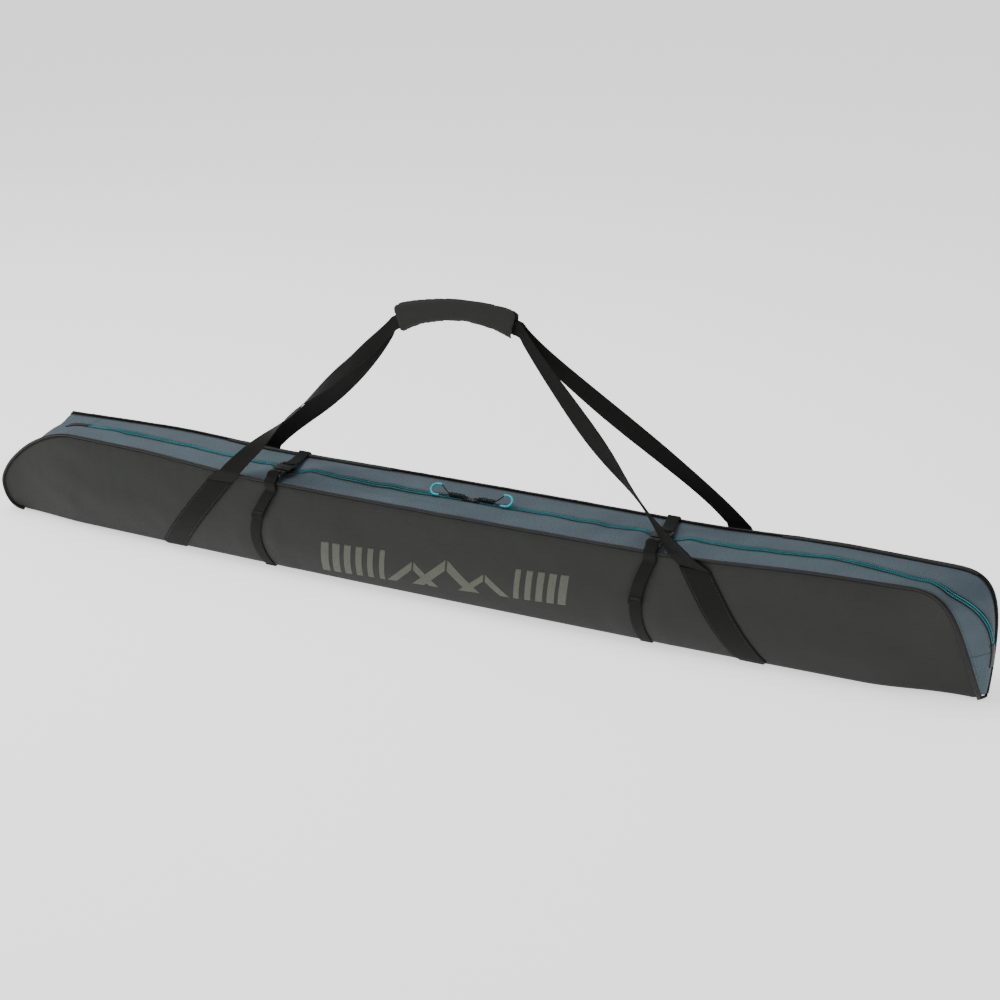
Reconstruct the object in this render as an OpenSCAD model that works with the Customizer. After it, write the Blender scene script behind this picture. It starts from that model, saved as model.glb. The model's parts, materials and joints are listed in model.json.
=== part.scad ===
// Single ski bag: a long soft case with a full-length zip along its top gusset,
// two compression straps with side-release buckles, and a two-loop carry handle
// with a padded wrap grip. Millimetres, +X along the bag, -Y the front, +Z up.
// The origin is the centre of the flat underside.

/* [Bag body] */
// Length of the bag from end to end
bag_length = 1742; // [1642:10:1842]
// Height of the top edge near the ends
end_top = 175; // [168:1:188]
// Height of the top edge in the middle, where the straps pull it down
mid_top = 164; // [152:1:174]
// Depth of the top opening in the middle of the bag
mid_depth = 128; // [116:1:136]
// Depth of the top opening at both ends
end_depth = 75; // [64:1:86]
// Thickness of a side panel: coated fabric and lining
panel_t = 2.4; // [1.6:0.2:3]
// Thickness of the stiff underside panel
base_t = 4; // [3.4:0.2:5]
// Thickness of the top gusset strips
gusset_t = 2.2; // [1.6:0.2:2.6]
// Diameter of the piping cord sewn round both side panels
piping_d = 4.4; // [3:0.2:5]

/* [Webbing] */
// Width of the carry webbing
carry_w = 38; // [30:1:40]
// Width of the compression straps
strap_w = 20; // [18:1:22]
// Thickness of all webbing
web_t = 1.4; // [1.2:0.1:1.6]

/* [Zip] */
// Width of the slot between the two gusset strips that holds the zip
zip_slot = 13; // [12.6:0.2:16]
// Place along the bag where the two closed sliders meet
zip_meet_x = 46; // [36:1:56]

/* [Grip] */
// Length of the padded grip
grip_length = 208; // [180:2:220]
// Height of the grip's section
grip_h = 36; // [34:1:44]
// Height of the middle of the grip above the underside
grip_z = 471; // [455:1:485]

/* [Hidden] */
$fn = 48;

left_x = -bag_length / 2 - 2;
right_x = bag_length / 2;
gap = 0.3;
// The top edge is level over this stretch, then rises to the ends.
level_mid_x = 44;
level_half = 345;
rise_run = 280;
// The front seam runs a little lower than the back one.
front_drop = 6;
// Rounding of the lower left corner, and the zip's ends as outline indices.
corner_n = 5;
left_n = 12;
top_n = 44;
right_n = 14;
zip_first = corner_n + 11;
zip_last = corner_n + left_n + top_n + 11;
last = corner_n + left_n + top_n + right_n;

charcoal = "#373836";
slate = "#4f5b64";
black = "#1c1d1a";
teal = "#12a3ad";

// ---------- shape of the bag ----------

function lerp(a, b, t) = a + (b - a) * t;
function clamp01(t) = min(1, max(0, t));
function smooth(t) = let (u = clamp01(t)) u * u * (3 - 2 * u);
function bezier(p, t) = let (s = 1 - t)
    s * s * s * p[0] + 3 * s * s * t * p[1] + 3 * s * t * t * p[2] + t * t * t * p[3];
function unit(v) = v / norm(v);

function top_z(x) = lerp(mid_top, end_top, smooth((abs(x - level_mid_x) - level_half) / rise_run));
function half_depth(x) = let (u = min(1, abs(x - level_mid_x) / (bag_length / 2)))
    lerp(end_depth, mid_depth, 1 - pow(u, 2.2)) / 2;
// 1 at the right-hand end, which is pinched to a point below; less at the left end; 0 along the body
function endness(x) = max(smooth((x - right_x + 170) / 150), 0.5 * smooth((left_x + 170 - x) / 150));
// Half the depth of the bag at height z, as a share of half its top opening
function profile(x, z) = let (v = clamp01(z / top_z(x)))
    lerp(1 + 0.13 * sin(180 * v) - 0.42 * pow(1 - v, 5), 0.05 + 0.95 * pow(v, 0.55), endness(x));
function side_y(x, z) = half_depth(x) * profile(x, z);

// Control points of the two rounded ends of each side panel
front_left_end = [[left_x, 50], [left_x + 2, 90], [left_x + 89, end_top - front_drop - 4],
    [left_x + 168, end_top - front_drop]];
front_right_end = [[right_x - 107, end_top - front_drop], [right_x - 46, end_top - front_drop],
    [right_x - 43, 120], [right_x - 7, 5]];
back_left_end = [[left_x, 50], [left_x + 52, 104], [left_x + 98, 158], [left_x + 106, end_top]];
back_right_end = [[right_x - 62, end_top], [right_x + 2, end_top + 1], [right_x + 4, 125], [right_x, 5]];
corner_r = [28, 50 - base_t];
// The corner is squarer than a quarter ellipse, by this exponent.
corner_e = 0.75;

// Outline of a side panel from its lower left corner, over the top, to its lower right corner
function outline(left_end, right_end, drop, n) = concat(
    [for (i = [0:corner_n - 1]) let (a = 90 * i / corner_n)
        [left_x + corner_r[0] * (1 - pow(sin(a), corner_e)), 50 - corner_r[1] * pow(cos(a), corner_e)]],
    [for (i = [0:n - 1]) bezier(left_end, i / n)],
    [for (i = [n:left_n + top_n])
        let (x = lerp(left_end[3][0], right_end[0][0], (i - n) / (left_n + top_n - n))) [x, top_z(x) - drop]],
    [for (i = [1:right_n]) bezier(right_end, i / right_n)]);

front_edge = [for (p = outline(front_left_end, front_right_end, front_drop, left_n))
    [p[0], -side_y(p[0], p[1]), p[1]]];
// The back seam turns its tighter corner a little sooner.
back_edge = [for (p = outline(back_left_end, back_right_end, 0, left_n - 3))
    [p[0], side_y(p[0], p[1]), p[1]]];
// Outward direction of the gusset at each outline index
edge_out = [for (i = [0:last]) let (a = max(0, i - 1), b = min(last, i + 1),
    d = (front_edge[b] + back_edge[b]) - (front_edge[a] + back_edge[a])) unit([-d[2], 0, d[0]])];
function gusset_width(i) = norm(back_edge[i] - front_edge[i]);
// The gusset bulges most at the right-hand end.
function crown(i) = min(1, gusset_width(i) / 60)
    * (2 + (edge_out[i][0] < 0 ? 1 : 14) * (1 - abs(edge_out[i][2])));
// Point on the gusset: c runs from the front seam (0) to the back seam (1), d is depth below the surface
function gusset(i, c, d = 0) =
    lerp(front_edge[i], back_edge[i], c) + (crown(i) * 4 * c * (1 - c) - d) * edge_out[i];
// Where the zip crosses the gusset: central, then swinging over the right-hand end
function zip_share(i) = let (t = (i - (last - right_n)) / right_n)
    0.5 - 0.26 * smooth((t + 0.4) / 0.7) + 0.44 * smooth((t - 0.25) / 0.55);
function across(i, mm) = zip_share(i) + mm / gusset_width(i);
// Lowest point of a side panel at x, which follows the rounded corner at the left-hand end
function low_z(x) = let (t = clamp01((left_x + corner_r[0] - x) / corner_r[0]))
    gap + (t <= 0 ? base_t : 50 - corner_r[1] * pow(1 - pow(t, 2 / corner_e), corner_e / 2));

// ---------- builders for soft sheets and cords ----------

// Closed solid between two matching grids of points; grid_out lies on the outer side
module sheet(grid_out, grid_in, flip = false) {
    m = len(grid_out);
    n = len(grid_out[0]);
    a = flip ? grid_in : grid_out;
    b = flip ? grid_out : grid_in;
    function at(i, j) = i * n + j;
    function under(i, j) = m * n + i * n + j;
    faces = concat(
        [for (i = [0:m - 2]) for (j = [0:n - 2]) each [
            [at(i, j), at(i, j + 1), at(i + 1, j + 1)], [at(i, j), at(i + 1, j + 1), at(i + 1, j)],
            [under(i, j), under(i + 1, j + 1), under(i, j + 1)],
            [under(i, j), under(i + 1, j), under(i + 1, j + 1)]]],
        [for (i = [0:m - 2]) each [
            [at(i, 0), at(i + 1, 0), under(i + 1, 0)], [at(i, 0), under(i + 1, 0), under(i, 0)],
            [at(i + 1, n - 1), at(i, n - 1), under(i, n - 1)],
            [at(i + 1, n - 1), under(i, n - 1), under(i + 1, n - 1)]]],
        [for (j = [0:n - 2]) each [
            [at(0, j + 1), at(0, j), under(0, j)], [at(0, j + 1), under(0, j), under(0, j + 1)],
            [at(m - 1, j), at(m - 1, j + 1), under(m - 1, j + 1)],
            [at(m - 1, j), under(m - 1, j + 1), under(m - 1, j)]]]);
    polyhedron([for (r = a) each r, for (r = b) each r], faces);
}

// Round cord through a list of centres; outs are directions square to its run
module cord(centres, outs, r, sides = 8) {
    m = len(centres);
    function at(i, k) = i * sides + k % sides;
    polyhedron(
        [for (i = [0:m - 1]) for (k = [0:sides - 1]) let (a = 360 * k / sides)
            centres[i] + r * cos(a) * outs[i] + [0, r * sin(a), 0]],
        concat([for (i = [0:m - 2]) for (k = [0:sides - 1]) each [
            [at(i, k), at(i, k + 1), at(i + 1, k + 1)], [at(i, k), at(i + 1, k + 1), at(i + 1, k)]]],
            [[for (k = [sides - 1:-1:0]) k], [for (k = [0:sides - 1]) at(m - 1, k)]]));
}

// ---------- body panels ----------

side_first = corner_n + 1;
side_last = last - 1;
side_rows = 11;
// Rows lie closer together towards the underside, where the side tucks in
row_ease = 1.6;

function side_grid(edge, sign, inset) = [for (i = [side_first:side_last]) let (x = edge[i][0])
    [for (k = [side_rows:-1:0]) let (z = lerp(low_z(x), edge[i][2] - gap, pow(k / side_rows, row_ease)))
        [x, sign * max(0.8, side_y(x, z) - inset), z]]];

module front_panel() {
    color(charcoal)
        sheet(side_grid(front_edge, -1, 0), side_grid(front_edge, -1, panel_t), flip = true);
}

module back_panel() {
    color(charcoal)
        sheet(side_grid(back_edge, 1, 0), side_grid(back_edge, 1, panel_t));
}

base_left = left_x + corner_r[0] + gap;
base_right = right_x - 14;
base_n = 40;
module base_panel() {
    edge = [for (i = [0:base_n]) let (x = lerp(base_left, base_right, i / base_n)) [x, side_y(x, 0)]];
    color(charcoal)
        difference() {
            linear_extrude(base_t)
                polygon(concat([for (p = edge) [p[0], -p[1]]], [for (i = [base_n:-1:0]) edge[i]]));
            for (s = [[carry_under_x[0], carry_w], [carry_under_x[1], carry_w],
                    [strap_x[0] - strap_lean[0], strap_w], [strap_x[1] - strap_lean[1], strap_w]])
                translate([s[0] - s[1] / 2 - gap, -100, -1])
                    cube([s[1] + 2 * gap, 200, 1 + web_t + 2 * gap]);
        }
}

module gusset_sheet(first, final, c_from, c_to, depth, t, columns) {
    color(slate)
        sheet([for (i = [first:final]) [for (j = [0:columns])
                gusset(i, lerp(c_from[i], c_to[i], j / columns), depth)]],
            [for (i = [first:final]) [for (j = [0:columns])
                gusset(i, lerp(c_from[i], c_to[i], j / columns), depth + t)]]);
}

function share_list(mm) = [for (i = [0:last]) across(i, mm)];
// The gusset's seam edges lie just inside the side panels.
seam_in = panel_t + 2 * gap;
front_side = [for (i = [0:last]) seam_in / gusset_width(i)];
back_side = [for (i = [0:last]) 1 - seam_in / gusset_width(i)];

module top_front_strip()
    gusset_sheet(zip_first, zip_last, front_side, share_list(-zip_slot / 2), 0, gusset_t, 3);
module top_rear_strip()
    gusset_sheet(zip_first, zip_last, share_list(zip_slot / 2), back_side, 0, gusset_t, 3);
module left_end_gusset() gusset_sheet(0, zip_first, front_side, back_side, 0, gusset_t, 6);
module right_end_gusset() gusset_sheet(zip_last, last, front_side, back_side, 0, gusset_t, 6);

module piping(edge, sign) {
    off = piping_d / 2 + gap;
    color(black)
        cord([for (i = [0:last]) edge[i] + off * 0.75 * edge_out[i] + [0, sign * off * 0.75, 0]],
            edge_out, piping_d / 2);
}

module front_piping() piping(front_edge, -1);
module back_piping() piping(back_edge, 1);

// ---------- zip ----------

tape_t = 0.8;
tape_depth = 1;
coil_h = 1.8;
coil_gap = 0.7;
coil_w = 3;

module zip_strip(side, near, far, depth, t) {
    lo = side < 0 ? -far : near;
    hi = side < 0 ? -near : far;
    sheet([for (i = [zip_first:zip_last]) [for (c = [lo, hi]) gusset(i, across(i, c), depth)]],
        [for (i = [zip_first:zip_last]) [for (c = [lo, hi]) gusset(i, across(i, c), depth + t)]]);
}

module zip_tape_front() color(black) zip_strip(-1, coil_gap, zip_slot / 2 - gap, tape_depth, tape_t);
module zip_tape_rear() color(black) zip_strip(1, coil_gap, zip_slot / 2 - gap, tape_depth, tape_t);
module zip_coil_front() color(teal) zip_strip(-1, coil_gap, coil_gap + coil_w, tape_depth - coil_h, coil_h);
module zip_coil_rear() color(teal) zip_strip(1, coil_gap, coil_gap + coil_w, tape_depth - coil_h, coil_h);

tab_l = 16;
module zip_end_tab(i, run) {
    // A folded fabric tab stitched over the end of the zip
    along = tab_l * unit(gusset(i + run, zip_share(i + run)) - gusset(i, zip_share(i)));
    color(black)
        sheet([for (s = [0.1, 1]) [for (c = [-6, 6]) gusset(i, across(i, c), -0.3 - web_t) - along * s]],
            [for (s = [0.1, 1]) [for (c = [-6, 6]) gusset(i, across(i, c), -0.3) - along * s]],
            flip = run > 0);
}
module zip_end_tab_left() zip_end_tab(zip_first, 1);
module zip_end_tab_right() zip_end_tab(zip_last, -1);

// Height of the zip's centre line over the level middle of the bag
zip_z = mid_top - front_drop / 2 + 2;
zip_y = (side_y(level_mid_x, mid_top) - side_y(level_mid_x, mid_top - front_drop)) / 2;
slider_l = 14;
slider_w = 10.4;

module slider(side) {
    plate_z = coil_h - tape_depth + 0.5;
    x0 = side < 0 ? -1 - slider_l : 1;
    translate([zip_meet_x + x0, zip_y, zip_z])
        color(black) {
            difference() {
                translate([0, -slider_w / 2, -0.2])
                    cube([slider_l, slider_w, plate_z + 1.4]);
                translate([-1, -slider_w / 2 + 1, -1])
                    cube([slider_l + 2, slider_w - 2, plate_z + 1]);
            }
            translate([2, -0.35, -3.6])
                cube([slider_l - 4, 0.7, plate_z + 4]);
            translate([0, -slider_w / 2, -3.6])
                cube([slider_l, slider_w, 1]);
            bail(plate_z + 1.2);
        }
}

// The arch over the slider that the pull cord is threaded through
bail_r = 4;
bail_w = 1.8;
module bail(z) {
    translate([slider_l / 2, -bail_w / 2, z])
        rotate([-90, 0, 0])
            difference() {
                cylinder(r = bail_r, h = bail_w);
                translate([0, 0, -1]) cylinder(r = bail_r - 1.2, h = bail_w + 2);
                translate([-bail_r - 1, 0, -1]) cube([2 * bail_r + 2, bail_r + 1, bail_w + 2]);
            }
}
module left_slider() slider(-1);
module right_slider() slider(1);

// Each pull is a cord loop through the bail, knotted, with its ends in a moulded C-shaped tube.
// It lies outward along the zip and tips up about the bail.
pull_z = 4;
pull_cord_d = 1.9;
pull_tube_d = 4.6;
pull_loop_r = 9.4;
strand_y = 2.4;
knot_x = [13, 29];
knot_r = 2.7;
tube_x = 47;
tube_straight = 7;
function pull_pivot_x(side) = zip_meet_x + side * (1 + slider_l / 2);

module pull_frame(side) {
    translate([pull_pivot_x(side), zip_y, zip_z + pull_z])
        mirror([side < 0 ? 1 : 0, 0, 0])
            children();
}

// Straight length of cord or tube between two points
module rod(a, b, d) {
    run = b - a;
    translate(a)
        rotate([0, acos(run[2] / norm(run)), atan2(run[1], run[0])])
            cylinder(d = d, h = norm(run), $fn = 24);
}

// Two overhand knots pulled up against each other
module double_knot(l, r) {
    waist = r * 0.75;
    translate([knot_x[0], 0, 0])
        rotate([0, 90, 0])
            rotate_extrude()
                polygon([[0, 0], [waist, 0], [r, l * 0.16], [r, l * 0.34], [waist, l / 2],
                    [r, l * 0.66], [r, l * 0.84], [waist, l], [0, l]]);
}

// The tube leans forward on its lower arm; each mouth lies this far out and up from its middle.
tube_roll = 45;
tube_lift = 5.6;
mouth = (pull_loop_r - 0.6) * [cos(tube_roll), sin(tube_roll)];

module pull_cord(side) {
    color(black)
        pull_frame(side) {
            rotate([90, 0, 0])
                cylinder(d = 1.6, h = 2 * strand_y, center = true, $fn = 24);
            for (s = [-1, 1]) {
                rod([0, s * strand_y, 0], [knot_x[0] + 1, s * 1.6, 0], pull_cord_d);
                rod([knot_x[1] - 1, s * 1.2, 0],
                    [tube_x - 0.6, s * mouth[0], tube_lift + s * mouth[1]], pull_cord_d);
            }
            double_knot(knot_x[1] - knot_x[0], knot_r);
        }
}

module pull_tube(side) {
    color(teal)
        pull_frame(side)
            translate([tube_x, 0, tube_lift]) rotate([tube_roll, 0, 0]) {
                for (s = [-1, 1])
                    rod([0, s * pull_loop_r, 0], [tube_straight, s * pull_loop_r, 0], pull_tube_d);
                translate([tube_straight, 0, 0])
                    rotate([0, 0, -90])
                        rotate_extrude(angle = 180)
                            translate([pull_loop_r, 0]) circle(d = pull_tube_d, $fn = 24);
            }
}
module left_pull_cord() pull_cord(-1);
module right_pull_cord() pull_cord(1);
module left_pull_tube() pull_tube(-1);
module right_pull_tube() pull_tube(1);

// ---------- webbing sewn round the bag ----------

// Seam point of an edge at x, by linear search along the outline
function seam_z(x, drop) = top_z(x) - drop;
// Rows of a band that runs up one side: [centre x, half width along X, z]
function side_rows_of(x_low, x_high, z_high, half, steps, bow = 0) =
    [for (k = [0:steps]) let (t = pow(k / steps, row_ease))
        [lerp(x_low, x_high, t) - bow * sin(180 * t), half, lerp(base_t + 2, z_high, t)]];

function band_row(x, half, sign, z, lift) = [for (s = [-1, 1])
    [x + s * half, sign * (side_y(x + s * half, z) + lift), z]];
function under_row(x, half, y, z) = [for (s = [-1, 1]) [x + s * half, y, z]];

// Rows of points up each side of a band, and how far its webbing stands off the panels
girth_steps = 13;
lay = 0.8;
// One face of a band that passes from the front seam, under the bag, to the back seam
function girth_face(x_front, x_under, x_back, w_front, w_under, w_back, z_front, z_back,
        lift, floor_z, bow = 0) =
    let (rows_f = side_rows_of(x_under, x_front, z_front, w_front / 2, girth_steps, bow),
        rows_b = side_rows_of(x_under, x_back, z_back, w_back / 2, girth_steps),
        y0 = side_y(x_under, 0))
    concat([for (k = [girth_steps:-1:0]) let (r = rows_f[k]) band_row(r[0], r[1], -1, r[2], lift)],
        [under_row(x_under, w_under / 2, -(y0 + lift * 0.6), lerp(floor_z, base_t, 0.3)),
            under_row(x_under, w_under / 2, -(y0 - 3), floor_z),
            under_row(x_under, w_under / 2, y0 - 3, floor_z),
            under_row(x_under, w_under / 2, y0 + lift * 0.6, lerp(floor_z, base_t, 0.3))],
        [for (r = rows_b) band_row(r[0], r[1], 1, r[2], lift)]);

module girth(x_front, x_under, x_back, w_front, w_under, w_back, z_front, z_back) {
    color(black)
        sheet(girth_face(x_front, x_under, x_back, w_front, w_under, w_back, z_front, z_back,
                lay + web_t, 0),
            girth_face(x_front, x_under, x_back, w_front, w_under, w_back, z_front, z_back,
                lay, web_t));
}

// Carry webbing: where it crosses the seams and where it passes underneath
carry_front_x = [-388, 449];
carry_back_x = [-380, 478];
carry_under_x = [-503, 532];
carry_slant_w = carry_w * 1.26;
carry_top_z = mid_top - 20;

module carry_web(k) girth(carry_front_x[k], carry_under_x[k], carry_back_x[k],
    carry_slant_w, carry_w, carry_slant_w, carry_top_z, carry_top_z);
module left_carry_web() carry_web(0);
module right_carry_web() carry_web(1);

// ---------- compression straps ----------

strap_x = [-286, 378];
// The strap crosses the back seam a little further left.
strap_back_shift = 14;
strap_lean = [26, 14];
// Between the seam and the underside each strap bows this far to the left.
strap_bow = [19, 13];
tail_z = [106, 84];
buckle_y = -38;
buckle_z = mid_top + 2;
plug_front = buckle_y - 20;

// One face of the strap: over the back seam, down, underneath, up the front and over its seam to the plug
function strap_face(k, lift, floor_z) =
    let (x = strap_x[k], h = strap_w / 2,
        zf = seam_z(x, front_drop), zb = seam_z(x, 0),
        yf = half_depth(x), xb = x - strap_back_shift,
        body = girth_face(x, x - strap_lean[k], xb, strap_w, strap_w, strap_w,
            zf - 12, zb - 12, lift, floor_z, strap_bow[k]))
    concat(
        [under_row(x, h, plug_front - 1.2, zf + 6.6 + lift),
            under_row(x, h, -(yf + 1.6), zf + 5.4 + lift),
            under_row(x, h, -(yf + 4.6 + lift * 0.7), zf + 3.4 + lift * 0.7),
            under_row(x, h, -(yf + 5 + lift), zf - 2)],
        body,
        [under_row(xb, h, yf + 5 + lift, zb - 2),
            under_row(xb, h, yf + 4.6 + lift * 0.7, zb + 3.4 + lift * 0.7),
            under_row(xb, h, yf + 1.6, zb + 5.4 + lift)]);

module strap(k) color(black) sheet(strap_face(k, lay + web_t, 0), strap_face(k, lay, web_t));
module left_strap() strap(0);
module right_strap() strap(1);

// Middle of the strap where it crosses the front at height z
function strap_line(k, z) =
    let (x = strap_x[k], t = (z - base_t - 2) / (seam_z(x, front_drop) - 12 - base_t - 2))
    lerp(x - strap_lean[k], x, t) - strap_bow[k] * sin(180 * t);

// Free end of the strap, which hangs down over the front from the ladder lock
function tail_face(k, lift, hem) =
    let (x = strap_x[k], h = strap_w / 2, zf = seam_z(x, front_drop), yf = half_depth(x))
    concat(
        [under_row(x, h, plug_front - 1.2, zf + 6.6 + lift),
            under_row(x, h, -(yf + 1.6), zf + 5.6 + lift),
            under_row(x - 1, h, -(yf + 4.6 + lift * 0.7), zf + 3.6 + lift * 0.7),
            under_row(x - 1, h, -(yf + 5 + lift), zf - 2)],
        [for (j = [0:5]) let (z = lerp(zf - 12, tail_z[k], j / 5))
            band_row(strap_line(k, z) - 1, h, -1, z, lift)],
        [for (z = [tail_z[k] - 1, tail_z[k] - 11]) band_row(strap_line(k, z) - 1, h, -1, z, lift + hem)]);

module strap_tail(k) color(black)
    sheet(tail_face(k, 2 * lay + 2 * web_t + 0.4, web_t), tail_face(k, 2 * lay + web_t + 0.4, 0));
module left_strap_tail() strap_tail(0);
module right_strap_tail() strap_tail(1);

// Strap between the back seam and the socket; it goes slack when the buckle is opened
module strap_top(k) {
    x = strap_x[k];
    yb = half_depth(x);
    y0 = buckle_y + 31;
    face = function(lift) [under_row(x - strap_back_shift, strap_w / 2, yb + 1, seam_z(x, 0) + 5.4 + lift),
        under_row(x - strap_back_shift * 0.85, strap_w / 2, yb - 10, seam_z(x, 0) + 3.4 + lift),
        under_row(x - strap_back_shift * 0.5, strap_w / 2, lerp(yb, y0, 0.5), seam_z(x, 0) + 2.8 + lift),
        under_row(x, strap_w / 2, y0, buckle_z + 4.4 - web_t - gap + lift)];
    color(black) sheet(face(gap + web_t), face(gap));
}
module left_strap_top() strap_top(0);
module right_strap_top() strap_top(1);

// ---------- side-release buckles ----------

plug_w = 25;
socket_w = 30;
socket_l = 27;
socket_h = 8.4;
arm_x = 9;
arm_h = 4;
arm_l = 20;

module at_buckle(k) translate([strap_x[k], buckle_y, buckle_z]) children();

module slab(w, l, h) {
    r = 2;
    corners = [[-1, -1], [1, -1], [1, 1], [-1, 1]];
    union() {
        translate([-w / 2 + r, -l / 2, 0]) cube([w - 2 * r, l, h]);
        translate([-w / 2, -l / 2 + r, 0]) cube([w, l - 2 * r, h]);
        for (p = corners)
            translate([p[0] * (w / 2 - r), p[1] * (l / 2 - r), 0]) cylinder(r = r, h = h);
    }
}

// Ladder lock with two bars, and the centre guide that enters the socket
module plug(k) {
    color(black)
        at_buckle(k) {
            difference() {
                translate([0, -10, 1.2]) slab(plug_w, 19, 6);
                for (y = [-15.4, -9.8])
                    translate([-strap_w / 2 - 0.6, y, 0]) cube([strap_w + 1.2, 2.8, 9]);
            }
            translate([-1.6, -0.6, 2.4]) cube([3.2, 17, 3.6]);
            for (s = [-1, 1])
                translate([s * 5 - 1, -5.6, 7.2]) cube([2, 4, 0.7]);
        }
}
module left_plug() plug(0);
module right_plug() plug(1);

// Spring arm of the plug, with the shoulder that is pressed to free it
module arm(k, s) {
    color(black)
        at_buckle(k)
            translate([s * arm_x, 0, 2.2]) {
                translate([-1.2, 0, 0]) cube([2.4, arm_l - 4.3, arm_h]);
                translate([s > 0 ? -1.2 : -3.6, arm_l - 13, 0]) cube([4.8, 9, arm_h]);
                translate([0, arm_l - 4.3, 0]) cylinder(r = 1.2, h = arm_h);
            }
}
module left_arm_inner() arm(0, 1);
module left_arm_outer() arm(0, -1);
module right_arm_inner() arm(1, -1);
module right_arm_outer() arm(1, 1);

// Socket: two plates open at both sides for the arms, closed at its strap bar
module socket(k) {
    color(black)
        at_buckle(k)
            translate([0, 15.6, 0]) {
                difference() {
                    slab(socket_w, socket_l, socket_h);
                    translate([-socket_w / 2 - 1, -socket_l / 2 - 1, 1.8])
                        cube([socket_w + 2, socket_l - 7.6, socket_h - 3.6]);
                    translate([-strap_w / 2 - 0.6, socket_l / 2 - 5, -1]) cube([strap_w + 1.2, 2.6, 12]);
                }
            }
}
module left_socket() socket(0);
module right_socket() socket(1);

// ---------- carry handle ----------

grip_x = 21;
grip_tilt = 3.9;
grip_arch_r = 400;
grip_half_angle = asin(grip_length / 2 / grip_arch_r);
grip_t = 18;
grip_shell = 4.6;
// Thickness of each hook-and-loop strip inside the grip's lower lips
patch_t = 0.8;
web_in_grip_h = 23;

// Frame with the grip's arch centre below it; children are drawn as sections in [radius, y]
module grip_arc() {
    translate([grip_x, 0, grip_z])
        rotate([0, -grip_tilt, 0])
            translate([0, 0, -grip_arch_r])
                rotate([90, 0, 0])
                    rotate([0, 0, 90 - grip_half_angle])
                        rotate_extrude(angle = 2 * grip_half_angle, $fn = 180)
                            translate([grip_arch_r, 0]) children();
}

// Half of a flattened ring: radius runs along the section's X, depth along its Y.
// Its lower lip stands back a little to leave room for the hook-and-loop strips.
module half_ring(h, t, shell) {
    intersection() {
        difference() {
            stadium(h, t);
            stadium(h - 2 * shell, t - 2 * shell);
        }
        union() {
            translate([0, gap / 2]) square([h, t]);
            translate([-h, gap / 2 + patch_t + 0.1]) square([h, t]);
        }
    }
}
module stadium(h, t) {
    translate([-(h - t) / 2, -t / 2]) square([h - t, t]);
    for (s = [-1, 1]) translate([s * (h - t) / 2, 0]) circle(d = t);
}

module grip_pad() color("#333432") grip_arc() half_ring(grip_h, grip_t, grip_shell);
module grip_flap() color("#333432") grip_arc() mirror([0, 1]) half_ring(grip_h, grip_t, grip_shell);
// The two loops of webbing run side by side through the grip.
module grip_web(y) color(black) grip_arc() translate([-web_in_grip_h / 2, y]) square([web_in_grip_h, 2.8]);
module grip_front_web() grip_web(0.4);
module grip_back_web() grip_web(-3.2);
module lip_strip() translate([-grip_h / 2 + 0.6, gap / 2]) square([grip_shell - 1, patch_t]);
module grip_loop_strip() color(black) grip_arc() lip_strip();
module grip_hook_strip() color(black) grip_arc() mirror([0, 1]) lip_strip();

// How far the two front webs are wrung where they rise from the bag, in degrees, and how far along
web_twist = [83, 62];
twist_at = [0.42, 0.26];
// The right one comes flat again before the grip; the left one stays half turned.
function wrung(k, t) = min(1, t / 0.1 + 0.3 * k)
    * (k == 0 && t > twist_at[0]
        ? (1 - 0.5 * smooth((t - twist_at[0]) / 0.25)) * (1 - smooth((t - 0.68) / 0.2))
        : exp(-pow((t - twist_at[k]) / 0.2, 2)));
// Where the front and the back webs leave the seams
over_x = [[-366, 427], [-371, 469]];
// How much lower each web hangs than a taut one, near the bag and near the grip
front_sag = [[-8, -16], [0, 0]];
back_sag = [[-2, 19], [-10, -10]];
// The webs leave the grip below the middle of its ends
web_end_drop = [15, 12];

// Free length of carry webbing from a seam to the end of the grip, turning as it rises
function grip_end(side) = let (a = side * grip_half_angle, r = grip_arch_r)
    [grip_x + r * sin(a), 0, grip_z + r * (cos(a) - 1) + side * grip_length / 2 * sin(grip_tilt)];

module handle_web(k, front) {
    side = k == 0 ? -1 : 1;
    s = front ? -1 : 1;
    x = front ? carry_front_x[k] : carry_back_x[k];
    drop = front ? front_drop : 0;
    zs = seam_z(x, drop);
    ys = s * half_depth(x);
    end = grip_end(side) + [side * 7, s * 2, -web_end_drop[k]];
    low = [x, s * (side_y(x, carry_top_z) + lay), carry_top_z + 2];
    seam = [over_x[front ? 0 : 1][k], ys + s * 8, zs + 4];
    sag = front ? front_sag[k] : back_sag[k];
    path = concat(
        [low],
        [for (t = [0:0.05:1]) bezier([seam, seam + [-side * 60, -s * 8, 60 - sag[0]],
            end + [side * 56, s * 4, -80 - sag[1]], end], t)]);
    n = len(path);
    // Half of the width: along the seam at first, upright at the grip; the front webs are wrung on the way
    wide = [for (i = [0:n - 1]) let (t = max(0, (i - 1) / (n - 2)),
            run = unit(path[min(n - 1, i + 1)] - path[max(0, i - 1)]),
            turn = front ? -web_twist[k] * wrung(k, t) : 0,
            flat = unit(lerp([1, 0, 0], [0.15, 0, side], smooth(t))))
        lerp(i == 0 ? carry_slant_w / 2 : carry_w / 2 * 1.05, web_in_grip_h / 2, t)
            * (flat * cos(turn) + cross(run, flat) * sin(turn))];
    thick = [for (i = [0:n - 1]) let (a = path[max(0, i - 1)], b = path[min(n - 1, i + 1)])
        -s * web_t * unit(cross(wide[i], b - a))];
    color(black)
        sheet([for (i = [0:n - 1]) [path[i] - wide[i] + thick[i], path[i] + wide[i] + thick[i]]],
            [for (i = [0:n - 1]) [path[i] - wide[i], path[i] + wide[i]]], flip = front);
}
module front_left_handle_web() handle_web(0, true);
module front_right_handle_web() handle_web(1, true);
module back_left_handle_web() handle_web(0, false);
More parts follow.
